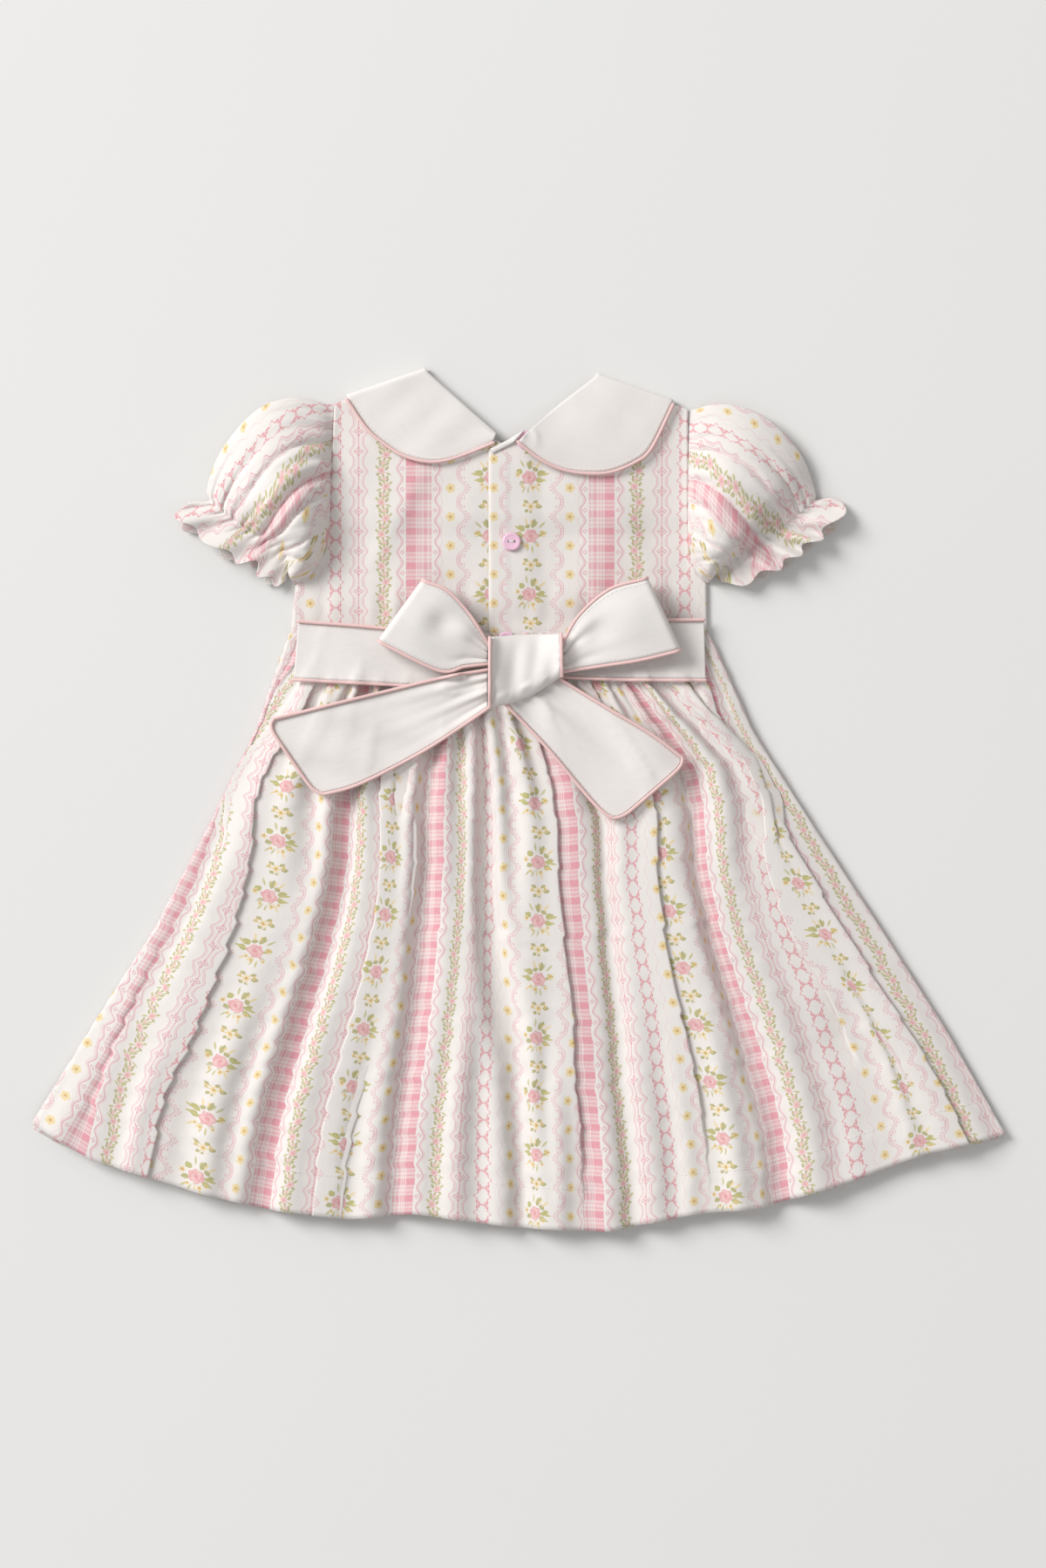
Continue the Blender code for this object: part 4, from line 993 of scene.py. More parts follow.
def printed(node, grid, uv, flat, measured=True, outward=None):
    # A panel of printed cotton; one with points to face away from goes all the way round
    wrap = outward is not None
    made = clothShell(
        panelName(node), grid, uv, cloth["wall"], printCotton, wrap, reverse=printBack, outward=outward
    )
    addToPile(keep(made, node))
    area = clothArea(closedRound(grid) if wrap else grid) if measured else None
    flatSizes[node] = (flat, area)


frontFoot = bodice["waistY"] + cloth["gap"]
backFoot = bodice["waistY"] - bodice["waistLap"]
plan = bodicePlan(lambda y: sideEdge(y, "left"), lambda y: sideEdge(y, "right"), frontTop, 90, 60, frontFoot)
frontLift = smoothstep(*bodice["collarLiftFrom"], plan[:, :, 1]) * bodice["collarLift"]
bodiceFront = np.dstack([plan, frontLift + cloth["wall"] / 2])
across = bodice["bouquetLeft"] - plan[:, :, 0] + bodice["frontShift"]
uv = np.dstack([across, plan[:, :, 1] - bodice["bouquetY"]])
printed("bodice_front", bodiceFront, uv, (0.29, 0.18))

underEdge = bodice["placketX"] + bodice["underlap"]
leftTop = neckLine(
    shoulderLeft, bodice["neckLeft"], underEdge + 6, bodice["backNeckY"] - 8, bodice["backNeckCurve"]
)
rightTop = neckLine(
    shoulderRight, bodice["neckRight"], bodice["placketX"] - 4, bodice["backNeckY"] - 5,
    bodice["backNeckCurve"],
)
plan = bodicePlan(
    lambda y: sideEdge(y, "left"), lambda y: underEdge,
    lambda s: leftTop(shoulderLeft[0] + (underEdge - shoulderLeft[0]) * s), 72, 78, backFoot,
)
lift, inside = bodiceHeight(plan)
fade = smoothstep(underEdge, underEdge - 40, plan[:, :, 0])
bodiceLeft = np.dstack([plan, bodice["backZ"] + lift + bodiceCreases(plan, inside) * fade])
uv = np.dstack([bodice["bouquetLeft"] - plan[:, :, 0], plan[:, :, 1] - bodice["bouquetY"]])
printed("bodice_back_left", bodiceLeft, uv, (0.16, 0.18))

plan = bodicePlan(
    lambda y: bodice["placketX"], lambda y: sideEdge(y, "right"),
    lambda s: rightTop(bodice["placketX"] + (shoulderRight[0] - bodice["placketX"]) * s), 78, 78, backFoot,
)
lift, inside = bodiceHeight(plan)
x = plan[:, :, 0]
lap = smoothstep(underEdge + 16, underEdge + 3, x) * bodice["lapRise"]
facingEnd = bodice["placketX"] + bodice["facing"]
facing = smoothstep(facingEnd + 1, facingEnd - 0.5, x) * bodice["facingRise"]
facing -= peak(x, bodice["placketX"], bodice["edgeWidth"]) * bodice["edgeDip"]
fade = smoothstep(bodice["placketX"] + 4, bodice["placketX"] + 44, x)
bodiceRight = np.dstack([plan, bodice["backZ"] + lift + lap + facing + bodiceCreases(plan, inside) * fade])
across = x - bodice["bouquetRight"]
across *= np.where(across < 0, bodice["edgeStretch"], 1)
uv = np.dstack([across, plan[:, :, 1] - bodice["bouquetY"]])
printed("bodice_back_right", bodiceRight, uv, (0.16, 0.18))
print("bodice made")

# Skirt
skirt = {
    "cut": 811.0, "length": 392.0, "air": 3.4, "mean": 10.5, "sideZ": 5.0, "sideEase": 24.0,
    "seamShare": 0.5, "level": 26.0, "foldMid": 0.33, "foldSeam": 0.35,
    "gathers": 26, "fineGathers": 47, "steepest": 1.42,
    "turnRadii": (0.8, 0.85), "openColumns": (28, 38, 57, 30, 38, 12, 18), "rows": 116,
    "laySmooth": 4.0, "seamZ": 4.3, "softened": 0.76,  # rise of the open folds
    "hemTurn": 27.0, "hemStep": 0.35,
    "bouquet": 131.1, "bouquetDrop": -6.5,
    "halfHem": 322.0, "pucker": 0.3, "puckerReach": 5.0, "underSide": 2.4,
}
skirtTop = bodice["waistY"] - cloth["gap"]
flareTable = [
    {"drop": 0.0, "left": -150.6, "right": 124.8},
    {"drop": 0.2, "left": -173.1, "right": 154.7},
    {"drop": 0.4, "left": -204.7, "right": 197.2},
    {"drop": 0.6, "left": -239.2, "right": 240.9},
    {"drop": 0.8, "left": -280.6, "right": 283.5},
    {"drop": 1.0, "left": -322.0, "right": 322.0},
]
hemTable = [
    (-322.0, -214.2), (-282.0, -238.0), (-210.0, -260.0), (-164.0, -271.0), (-112.0, -277.0),
    (-69.0, -273.5), (3.0, -283.0), (60.0, -284.9), (118.0, -273.5), (160.0, -269.5),
    (210.0, -255.5), (267.0, -234.5), (322.0, -221.7),
]
# Share of the cloth that shows as folds; tucks too fine to see take the rest
carried = [{"drop": 0.0, "share": 0.66}, {"drop": 0.36, "share": 0.86}, {"drop": 1.0, "share": 1.0}]
# Cloth tucked under at each side
sideRoll = [
    {"drop": 0.0, "left": 8, "right": 6}, {"drop": 0.12, "left": 22, "right": 12},
    {"drop": 0.35, "left": 33, "right": 17}, {"drop": 0.65, "left": 20, "right": 11},
    {"drop": 0.92, "left": 3, "right": 3}, {"drop": 1.0, "left": 0, "right": 0},
]
# Main folds, with their place on the cut cloth at a third of the drop and at the hem, the width of
# a wall, the cloth they take up and their lean to the right. A deep one lies over: over 1, the
# cloth to its right is on top; over -1, the cloth to its left; over 0 stays an open valley.
folds = [
    {"mid": 45, "hem": 40, "wall": 22, "takeMid": 13, "takeHem": 2, "lean": 0.5, "over": 0},
    {"mid": 96, "hem": 97, "wall": 32, "takeMid": 43, "takeHem": 17, "lean": 0.35, "over": -1},
    {"mid": 184, "hem": 180, "wall": 26, "takeMid": 21, "takeHem": 12, "lean": 0.5, "over": 0},
    {"mid": 243, "hem": 243, "wall": 34, "takeMid": 50, "takeHem": 40, "lean": 0.68, "over": 1},
    {"mid": 316, "hem": 323, "wall": 24, "takeMid": 20, "takeHem": 9, "lean": 0.5, "over": 0},
    {"mid": 377, "hem": 411, "wall": 24, "takeMid": 24, "takeHem": 13, "lean": 0.6, "over": 0},
    {"mid": 452, "hem": 461, "wall": 26, "takeMid": 29, "takeHem": 8, "lean": 0.62, "over": -1},
    {"mid": 502, "hem": 502, "wall": 17, "takeMid": 12, "takeHem": 5, "lean": 0.5, "over": 0},
    {"mid": 556, "hem": 554, "wall": 24, "takeMid": 23, "takeHem": 8, "lean": 0.6, "over": -1},
    {"mid": 608, "hem": 611, "wall": 25, "takeMid": 30, "takeHem": 17, "lean": 0.4, "over": 0},
    {"mid": 684, "hem": 690, "wall": 28, "takeMid": 30, "takeHem": 3, "lean": 0.6, "over": 1},
    {"mid": 750, "hem": 761, "wall": 32, "takeMid": 45, "takeHem": 38, "lean": 0.6, "over": -1},
]
# Where places on the cut cloth come to lie: cloth, x at a third of the drop
layMid = [
    (33.4, -204.1), (55.8, -193.8), (72.5, -174.2), (131.1, -155.8), (151.2, -135.1), (179.4, -116.2),
    (201.8, -103.5), (277.2, -82.2), (325.5, -54.6), (347.9, -36.2), (396.8, -10.4), (423.2, 12.7),
    (471.5, 32.2), (493.9, 51.8), (510.6, 59.8), (525.6, 73.6), (542.8, 89.1), (589.4, 110.4),
    (617.6, 117.9), (640.0, 131.1), (656.7, 145.5), (671.6, 155.3), (715.3, 177.1),
]
# and at the hem
layHem = [
    (33.4, -290.4), (55.8, -270.3), (72.5, -255.9), (87.4, -245.5), (131.1, -211.0), (151.2, -191.5),
    (179.4, -169.6), (201.8, -153.5), (277.2, -117.9), (303.6, -92.6), (325.5, -76.5), (347.9, -55.8),
    (364.6, -40.3), (379.5, -24.2), (396.8, -4.6), (423.2, 10.9), (449.7, 34.5), (471.5, 48.9),
    (493.9, 71.3), (510.6, 84.0), (525.6, 101.2), (542.8, 115.6), (569.3, 137.4), (589.4, 157.6),
    (617.6, 171.9), (640.0, 190.3), (656.7, 207.6), (671.6, 222.5), (688.9, 240.9), (695.2, 247.3),
    (715.3, 266.8), (735.4, 284.1), (786.0, 297.3), (802.7, 314.5),
]


def flare(drop):
    at = column(flareTable, "drop")
    return np.interp(drop, at, column(flareTable, "left")), np.interp(drop, at, column(flareTable, "right"))


def hemLine(share):
    table = np.array(hemTable)
    return np.interp(skirt["halfHem"] * (2 * share - 1), table[:, 0], table[:, 1])


def limited(slope):
    return skirt["steepest"] * np.tanh(slope / skirt["steepest"])


# Share of a fold's wall that it takes up, by its steepest slope
steep = np.linspace(0, 3.0, 61)
ripple = np.cos(np.linspace(0, math.pi, 40))
steepShare = np.array([1 - np.mean(np.cos(a / 2 + a / 2 * ripple)) for a in steep])


def foldAt(fold, drop):
    # Where a fold is at one share of the drop, the cloth it takes up, and how much of that lies over
    down = min(drop / skirt["foldMid"], 1.0)
    mix = float(smoothstep(skirt["foldMid"], 1.0, drop))
    place = fold["mid"] * (1 - mix) + fold["hem"] * mix + 2.0 * math.sin(7 * drop + fold["hem"])
    take = fold["takeMid"] * (1 - mix) + fold["takeHem"] * mix
    take *= skirt["foldSeam"] + (1 - skirt["foldSeam"]) * down
    over = take * float(smoothstep(8, 16, take)) if fold["over"] else 0.0
    return place, take - over, over


def skirtSection(u, drop):
    # Slope of the open folds across the skirt at one share of the drop
    slope = np.zeros_like(u)
    for fold in folds:
        place, take, _ = foldAt(fold, drop)
        wide = fold["wall"]
        for side, share in ((-1, 1 - fold["lean"]), (1, fold["lean"])):
            angle = np.interp(min(take * share / wide, steepShare[-1]), steepShare, steep)
            at = (u - (place + side * wide / 2)) / wide
            within = np.where(np.abs(at) < 0.5, 0.5 + 0.5 * np.cos(math.tau * at), 0)
            slope += side * angle * within
    return slope


turnAngle = np.linspace(0, math.pi, 200)
turnTake = 1 - np.sinc(turnAngle / math.pi)


def skirtColumns(drop):
    # Places across the cut cloth for one row, close together where a fold turns over, with the
    # slope of those folds and the stretches they cover
    turns = [math.pi * radius for radius in skirt["turnRadii"]]
    u, slope, covered, last = [], [], [], 0.0
    for number, fold in enumerate([f for f in folds if f["over"]]):
        place, _, over = foldAt(fold, drop)
        full = min(over / sum(turns), 1.0)
        angle = float(np.interp(full, turnTake, turnAngle)) * fold["over"]
        flat = max((over - sum(turns)) / 2, 0.15)
        parts = [(2, flat, 0, 0), (6, turns[0], 0, angle), (3, flat, angle, angle), (9, turns[1], angle, 0)]
        if fold["over"] < 0:
            parts = [(n, size, end, start) for n, size, start, end in parts[::-1]]
        start = place - sum(part[1] for part in parts) / 2
        count = skirt["openColumns"][number]
        u += list(np.linspace(last, start, count, endpoint=False))
        slope += [0.0] * count
        at = start
        for n, size, low, high in parts:
            u += list(np.linspace(at, at + size, n, endpoint=False))
            slope += list(np.linspace(low, high, n, endpoint=False))
            at += size
        covered.append((start, at))
        last = at
    count = skirt["openColumns"][-1]
    u += list(np.linspace(last, skirt["cut"], count))
    slope += [0.0] * count
    return np.array(u), np.array(slope), covered


def gatherSlope(u, drop):
    # Gathers: fine ones at the seam that run together lower down, each of its own strength
    along = u / skirt["cut"]
    turn = math.tau * skirt["gathers"] * along
    coarse = np.sin(turn + 0.9 * np.sin(u / 61) + 0.5 * np.sin(u / 23 + 1))
    coarse *= 1 + 0.35 * np.sin(u / 37 + 2 + 3 * drop)
    turn = math.tau * skirt["fineGathers"] * along
    fine = np.sin(turn + 1.2 * np.sin(u / 47) + 0.6 * np.sin(u / 19))
    share = float(smoothstep(0.26, 0.03, drop))
    return coarse * (1 - 0.45 * share) + fine * 0.8 * share


def layTarget(u, covered, drop):
    # Where the cloth is to come, from the lay of the print; cloth inside a fold counts for nothing
    def seen(v):
        v = np.asarray(v, float)
        return v - sum(np.clip(v - low, 0, high - low) for low, high in covered)

    places = []
    for table in (layMid, layHem):
        kept = [row for row in table if not any(low < row[0] < high for low, high in covered)]
        table = np.array(kept)
        places.append(np.interp(seen(u), seen(table[:, 0]), table[:, 1], left=np.nan, right=np.nan))
    mix = float(smoothstep(skirt["foldMid"], 1.0, drop))
    return places[0] * (1 - mix) + places[1] * mix


def skirtLay(drop):
    # One row before the lay of the print is applied: cloth, x, rise, and the shift it still needs
    left, right = flare(drop)
    u, turned, covered = skirtColumns(drop)
    step = np.diff(u)
    rollAt = column(sideRoll, "drop")
    rolls = [np.interp(drop, rollAt, column(sideRoll, side)) for side in ("left", "right")]
    away = np.min([np.maximum(np.maximum(low - u, u - high), 0) for low, high in covered], axis=0)
    free = smoothstep(0, 18, away)
    main, gather = skirtSection(u, drop), gatherSlope(u, drop)
    shown = (u > rolls[0]) & (u < skirt["cut"] - rolls[1])
    share = np.interp(drop, column(carried, "drop"), column(carried, "share"))
    share = np.where((away[1:] + away[:-1]) > 0, share, 1.0)
    middle = (shown[1:] & shown[:-1]) * share
    low, high = 0.0, 3.0
    for _ in range(22):
        size = (low + high) / 2
        slope = limited(main + size * gather) * free + turned
        run = np.sum(np.cos((slope[1:] + slope[:-1]) / 2) * step * middle)
        low, high = (size, high) if run > right - left else (low, size)
    slope = limited(main + low * gather) * free + turned
    between = (slope[1:] + slope[:-1]) / 2
    run = np.concatenate([[0], np.cumsum(np.cos(between) * step * middle)])
    shallow = np.where((away[1:] + away[:-1]) > 0, (0.35 + 0.65 * share) * skirt["softened"], 1.0)
    rise = np.concatenate([[0], np.cumsum(np.sin(between) * step * shallow)])
    x = left + run / run[-1] * (right - left)
    pull = layTarget(u, covered, drop) - x
    known = ~np.isnan(pull) & (away > 0)
    even = np.linspace(0, skirt["cut"], 271)
    pull = smoothLine(np.interp(even, u[known], pull[known], left=0, right=0))
    pull = np.interp(u, even, pull) * float(smoothstep(0.06, 0.33, drop))
    for start, end in covered:
        inside = (u >= start) & (u <= end)
        first, last = np.interp([start - 0.5, end + 0.5], u, pull)
        pull[inside] = first + (last - first) * (u[inside] - start) / (end - start)
    pull *= smoothstep(0, 14, np.minimum(u - rolls[0], skirt["cut"] - rolls[1] - u))
    return u, x, rise, pull, away, rolls


def skirtBack():
    drops = np.linspace(0, 1, skirt["rows"])
    lays = [skirtLay(drop) for drop in drops]
    pulls = blur(np.stack([lay[3] for lay in lays]), skirt["laySmooth"], 0)
    rows, uvRows = [], []
    for drop, (u, x, rise, _, away, rolls), pull in zip(drops, lays, pulls):
        left, right = flare(drop)
        x = x + pull
        x = np.where(away > 0, np.maximum.accumulate(np.where(away > 0, x, -1e9)), x)
        near = np.exp(-0.5 * ((x[:, None] - x[None, :]) / skirt["level"]) ** 2)
        weight = np.concatenate([[0], np.diff(u)]) * np.where(away > 0, 1.0, 0.05)
        rise = rise - (near @ (rise * weight)) / (near @ weight)
        y = skirtTop + drop * (hemLine(np.clip((x - left) / (right - left), 0, 1)) - skirtTop)
        z = skirt["mean"] + rise
        z = skirt["air"] + cloth["wall"] / 2 + np.logaddexp(0, (z - skirt["air"]) / 1.5) * 1.5
        seam = skirt["seamShare"] + (1 - skirt["seamShare"]) * float(smoothstep(0, 0.16, drop))
        edge = np.minimum(x - left, right - x)
        z = skirt["sideZ"] + (z * seam - skirt["sideZ"]) * smoothstep(-2, skirt["sideEase"], edge)
        z = np.maximum(z, skirt["seamZ"] * float(smoothstep(0.06, 0.02, drop)))
        fromHem = skirt["length"] * (1 - drop)
        z += skirt["hemStep"] * float(smoothstep(skirt["hemTurn"] + 0.6, skirt["hemTurn"] - 0.6, fromHem))
        pucker = math.exp(-(((fromHem - skirt["hemTurn"]) / skirt["puckerReach"]) ** 2))
        z += skirt["pucker"] * pucker * np.sin(u / 1.9 + 1.5 * np.sin(u / 31)) * (away > 0)
        # rolled sides: over the edge and back under it
        radius = (skirt["sideZ"] - skirt["underSide"]) / 2
        for sign, roll, edgeX, into in (
            (1, rolls[0], left, rolls[0] - u), (-1, rolls[1], right, u - (skirt["cut"] - rolls[1]))
        ):
            tucked = into > 0
            turn = np.clip(into / radius, 0, math.pi)
            beyond = np.maximum(into - math.pi * radius, 0)
            x = np.where(tucked, edgeX - sign * (radius * np.sin(turn) * min(roll / 8, 1) - beyond * 0.97), x)
            z = np.where(tucked, skirt["sideZ"] - radius * (1 - np.cos(turn)), z)
        rows.append(np.stack([x, y, z], axis=1))
        down = np.full_like(u, skirt["bouquetDrop"] - drop * skirt["length"])
        uvRows.append(np.stack([u - skirt["bouquet"], down], axis=1))
    return np.stack(rows, axis=1), np.stack(uvRows, axis=1)


# The front lies under the back with its fullness in flat pleats
under = {
    "pleats": 9, "layer": 0.9, "room": 10.0, "fall": 7.0, "sideLeft": 40.0, "sideRight": 28.0,
    "rows": 44, "shift": 40.0,
}


def pleatedRow(left, right, drop):
    # One row across the front: x, height and the place on the cut cloth
    spread = min(1, drop * 4 + 0.3)
    inner = right - left - under["sideLeft"] * spread - under["sideRight"] * spread
    first = left + under["sideLeft"] * spread
    pitch = inner / under["pleats"]
    depth = min((skirt["cut"] - (right - left)) / 2 / under["pleats"], pitch - under["room"])
    low, turn = cloth["wall"] / 2, under["layer"] / 2
    points = [(left + 1, low), (left + 6, low), (left + 14, low)]
    bend = np.linspace(-math.pi / 2, math.pi / 2, 6)
    for k in range(under["pleats"]):
        start = first + k * pitch
        edge = start + pitch * (0.86 + 0.05 * math.sin(2.3 * k + 3 * drop))
        points += [(start + (edge - start) * t, low) for t in (0.15, 0.4, 0.7, 0.95)]
        points += [(edge + turn * math.cos(a), low + turn + turn * math.sin(a)) for a in bend]
        points += [(edge - depth * t, low + 2 * turn) for t in (0.2, 0.5, 0.8)]
        points += [(edge - depth - turn * math.cos(a), low + 3 * turn + turn * math.sin(a)) for a in bend]
        points += [(edge - depth * t, low + 4 * turn) for t in (0.7, 0.35, 0.0)]
        for t in (0.25, 0.5, 0.75):
            points.append((edge + 1 + under["fall"] * t, low + 4 * turn * (1 - float(smoothstep(0, 1, t)))))
    points += [(right - 14, low), (right - 6, low), (right - 1, low)]
    line = np.array(points)
    run = runAlong(line)
    return line, run * skirt["cut"] / run[-1]


def skirtFront():
    rows, uvRows = [], []
    for drop in np.linspace(0, 1, under["rows"]):
        left, right = flare(drop)
        line, run = pleatedRow(left, right, drop)
        s = (line[:, 0] - left) / (right - left)
        lower = 3.5 * smoothstep(0.12, 0.03, s) + 2.0 * smoothstep(0.9, 0.97, s)
        y = skirtTop + drop * (hemLine(s) - lower - skirtTop)
        rows.append(np.stack([line[:, 0], y, line[:, 1]], axis=1))
        down = np.full_like(run, -drop * skirt["length"])
        uvRows.append(np.stack([run - skirt["bouquet"] + under["shift"], down], axis=1))
    return np.stack(rows, axis=1), np.stack(uvRows, axis=1)


skirtFlat = (0.811, 0.392)
printed("skirt_front", *skirtFront(), skirtFlat, measured=False)
skirtGrid, uv = skirtBack()
printed("skirt_back", skirtGrid, uv, skirtFlat, measured=False)
hemRow = round((skirt["rows"] - 1) * (1 - skirt["hemTurn"] / skirt["length"]))
outward = gridNormals(skirtGrid)[:, hemRow]
outward *= np.sign(outward[:, 2].sum()) * (cloth["wall"] / 2 + stitch["lift"])
stitchAlong(pieces["skirt_back"], "hem-stitches", skirtGrid[:, hemRow] + outward, threadWhite)
print("skirt made")

# Sleeves
sleeve = {
    "points": 168, "rows": 76, "ruffleRows": 26, "low": 0.6,
    "length": 105.0, "ruffle": 20.0,
    "armGathers": 13, "elasticGathers": 11, "ruffleWaves": 5.0,
    "armDepth": 1.25, "elasticDepth": 1.6, "ruffleDepth": 3.0, "shirring": 0.6,
    "tuck": 2.3, "tuckZ": 1.4, "bowEase": 2.6,
    "takeUp": 3.2,  # cloth that a crease hides, for each millimetre of its depth
    # how far the gathers run from the armhole, and from the elastic up and into the ruffle
    "armReach": 0.34, "cuffReach": (0.34, 0.35),
    "shirringLines": 34, "shirringReach": 0.045, "frillSway": 0.14,
}
sleeveLeft = {
    "armhole": [(-123.4, 260.6), (-126.2, 188.3), (-129.6, 165.2), (-139.0, 149.4), (-149.6, 144.2)],
    "crown": [(-123.4, 260.6), (-148.9, 265.4), (-173.6, 256.4), (-195.5, 231.4), (-205.6, 207.0),
              (-203.8, 197.6)],
    "elastic": [(-203.8, 197.6), (-186.3, 183.1), (-169.9, 173.4), (-154.5, 163.5), (-152.5, 150.4)],
    "ruffle": [(-217.4, 196.9), (-223.2, 190.6), (-221.0, 181.5), (-207.0, 172.8), (-195.5, 163.6),
               (-186.3, 157.8), (-175.0, 156.0), (-169.5, 148.0), (-160.4, 141.6), (-154.2, 144.5)],
    # creases that run down the sleeve: where they start and end across it, depth, width and where
    # along the sleeve they lie
    "creases": [(0.37, 0.55, -5.0, 0.026, 0.0, 1.0), (0.30, 0.47, 1.8, 0.022, 0.0, 0.9),
                (0.17, 0.34, -2.4, 0.014, 0.0, 0.75), (0.48, 0.66, -2.4, 0.015, 0.0, 1.0),
                (0.43, 0.60, 1.2, 0.022, 0.1, 0.9), (0.09, 0.20, -1.2, 0.018, 0.5, 1.0),
                (0.64, 0.82, -2.0, 0.016, 0.3, 1.0), (0.82, 0.90, -2.0, 0.02, 0.0, 0.7)],
    # where on the cut cloth the crown and the underarm lie: at the armhole and at the elastic
    "crownPlace": (-41.0, -33.0), "underarmPlace": (-190.0, -152.0),
}
sleeveRight = {
    "armhole": [(113.4, 257.0), (113.4, 190.0), (114.8, 164.7), (119.8, 150.2), (126.6, 144.6)],
    "crown": [(113.4, 257.0), (135.1, 261.5), (163.6, 251.8), (185.7, 228.6), (195.5, 205.0),
              (195.8, 197.6)],
    "elastic": [(195.8, 197.6), (182.8, 187.5), (163.6, 172.4), (146.0, 160.5), (130.4, 149.4)],
    "ruffle": [(206.4, 199.2), (213.9, 197.0), (214.0, 191.5), (208.6, 184.0), (201.8, 175.0),
               (194.9, 170.5), (183.5, 161.5), (177.1, 156.1), (168.5, 152.0), (155.1, 145.6),
               (144.3, 142.2), (133.5, 144.5)],
    "creases": [(0.40, 0.54, -3.2, 0.015, 0.0, 0.9), (0.34, 0.46, 1.4, 0.022, 0.0, 0.8),
                (0.53, 0.67, -3.0, 0.016, 0.0, 1.0), (0.47, 0.60, 1.6, 0.026, 0.1, 1.0),
                (0.21, 0.31, -2.6, 0.014, 0.0, 0.7), (0.68, 0.80, -2.2, 0.018, 0.1, 1.0),
                (0.13, 0.19, -1.4, 0.02, 0.5, 1.0), (0.84, 0.86, -1.8, 0.02, 0.0, 0.7)],
    "crownPlace": (-25.0, -37.0), "underarmPlace": (-192.0, -146.0),
}
# Height of the puff, from the armhole at 0 over the elastic at 1 to the ruffle's edge at 2
sleeveRings = [(0.0, 8.0), (0.10, 18.0), (0.36, 28.5), (0.70, 26.5), (1.0, 11.0), (1.45, 11.5), (2.0, 14.0)]


def sleevePlan(edges, at, q):
    even = np.linspace(0, 1, 129)

    def point(path, t):
        line = smoothPath(edges[path], 129)
        return np.stack([np.interp(t, even, line[:, 0]), np.interp(t, even, line[:, 1])], axis=-1)

    elastic = point("elastic", q)
    if at > 1:
        return elastic * (2 - at) + point("ruffle", q) * (at - 1)
    arm = point("armhole", q)
    crown, q = point("crown", at), q[:, None]
    bow = crown - point("armhole", 0.0) * (1 - at) - point("elastic", 0.0) * at
    return arm * (1 - at) + elastic * at + bow * (1 - q) ** sleeve["bowEase"]


def gatherWave(q, count, sway, shift):
    # Round puffs with narrow valleys between them, each of its own size
    place = count * q + 0.30 * np.sin(5.3 * q + sway) + 0.12 * np.sin(17 * q + 2 * sway)
    turn = math.tau * place + shift
    wave = 0.45 - 1.35 * np.exp(2.4 * (np.cos(turn) - 1)) + 0.22 * np.sin(2.6 * turn + sway)
    return wave * (1 + 0.4 * np.sin(9 * q + sway) * np.sin(23 * q))


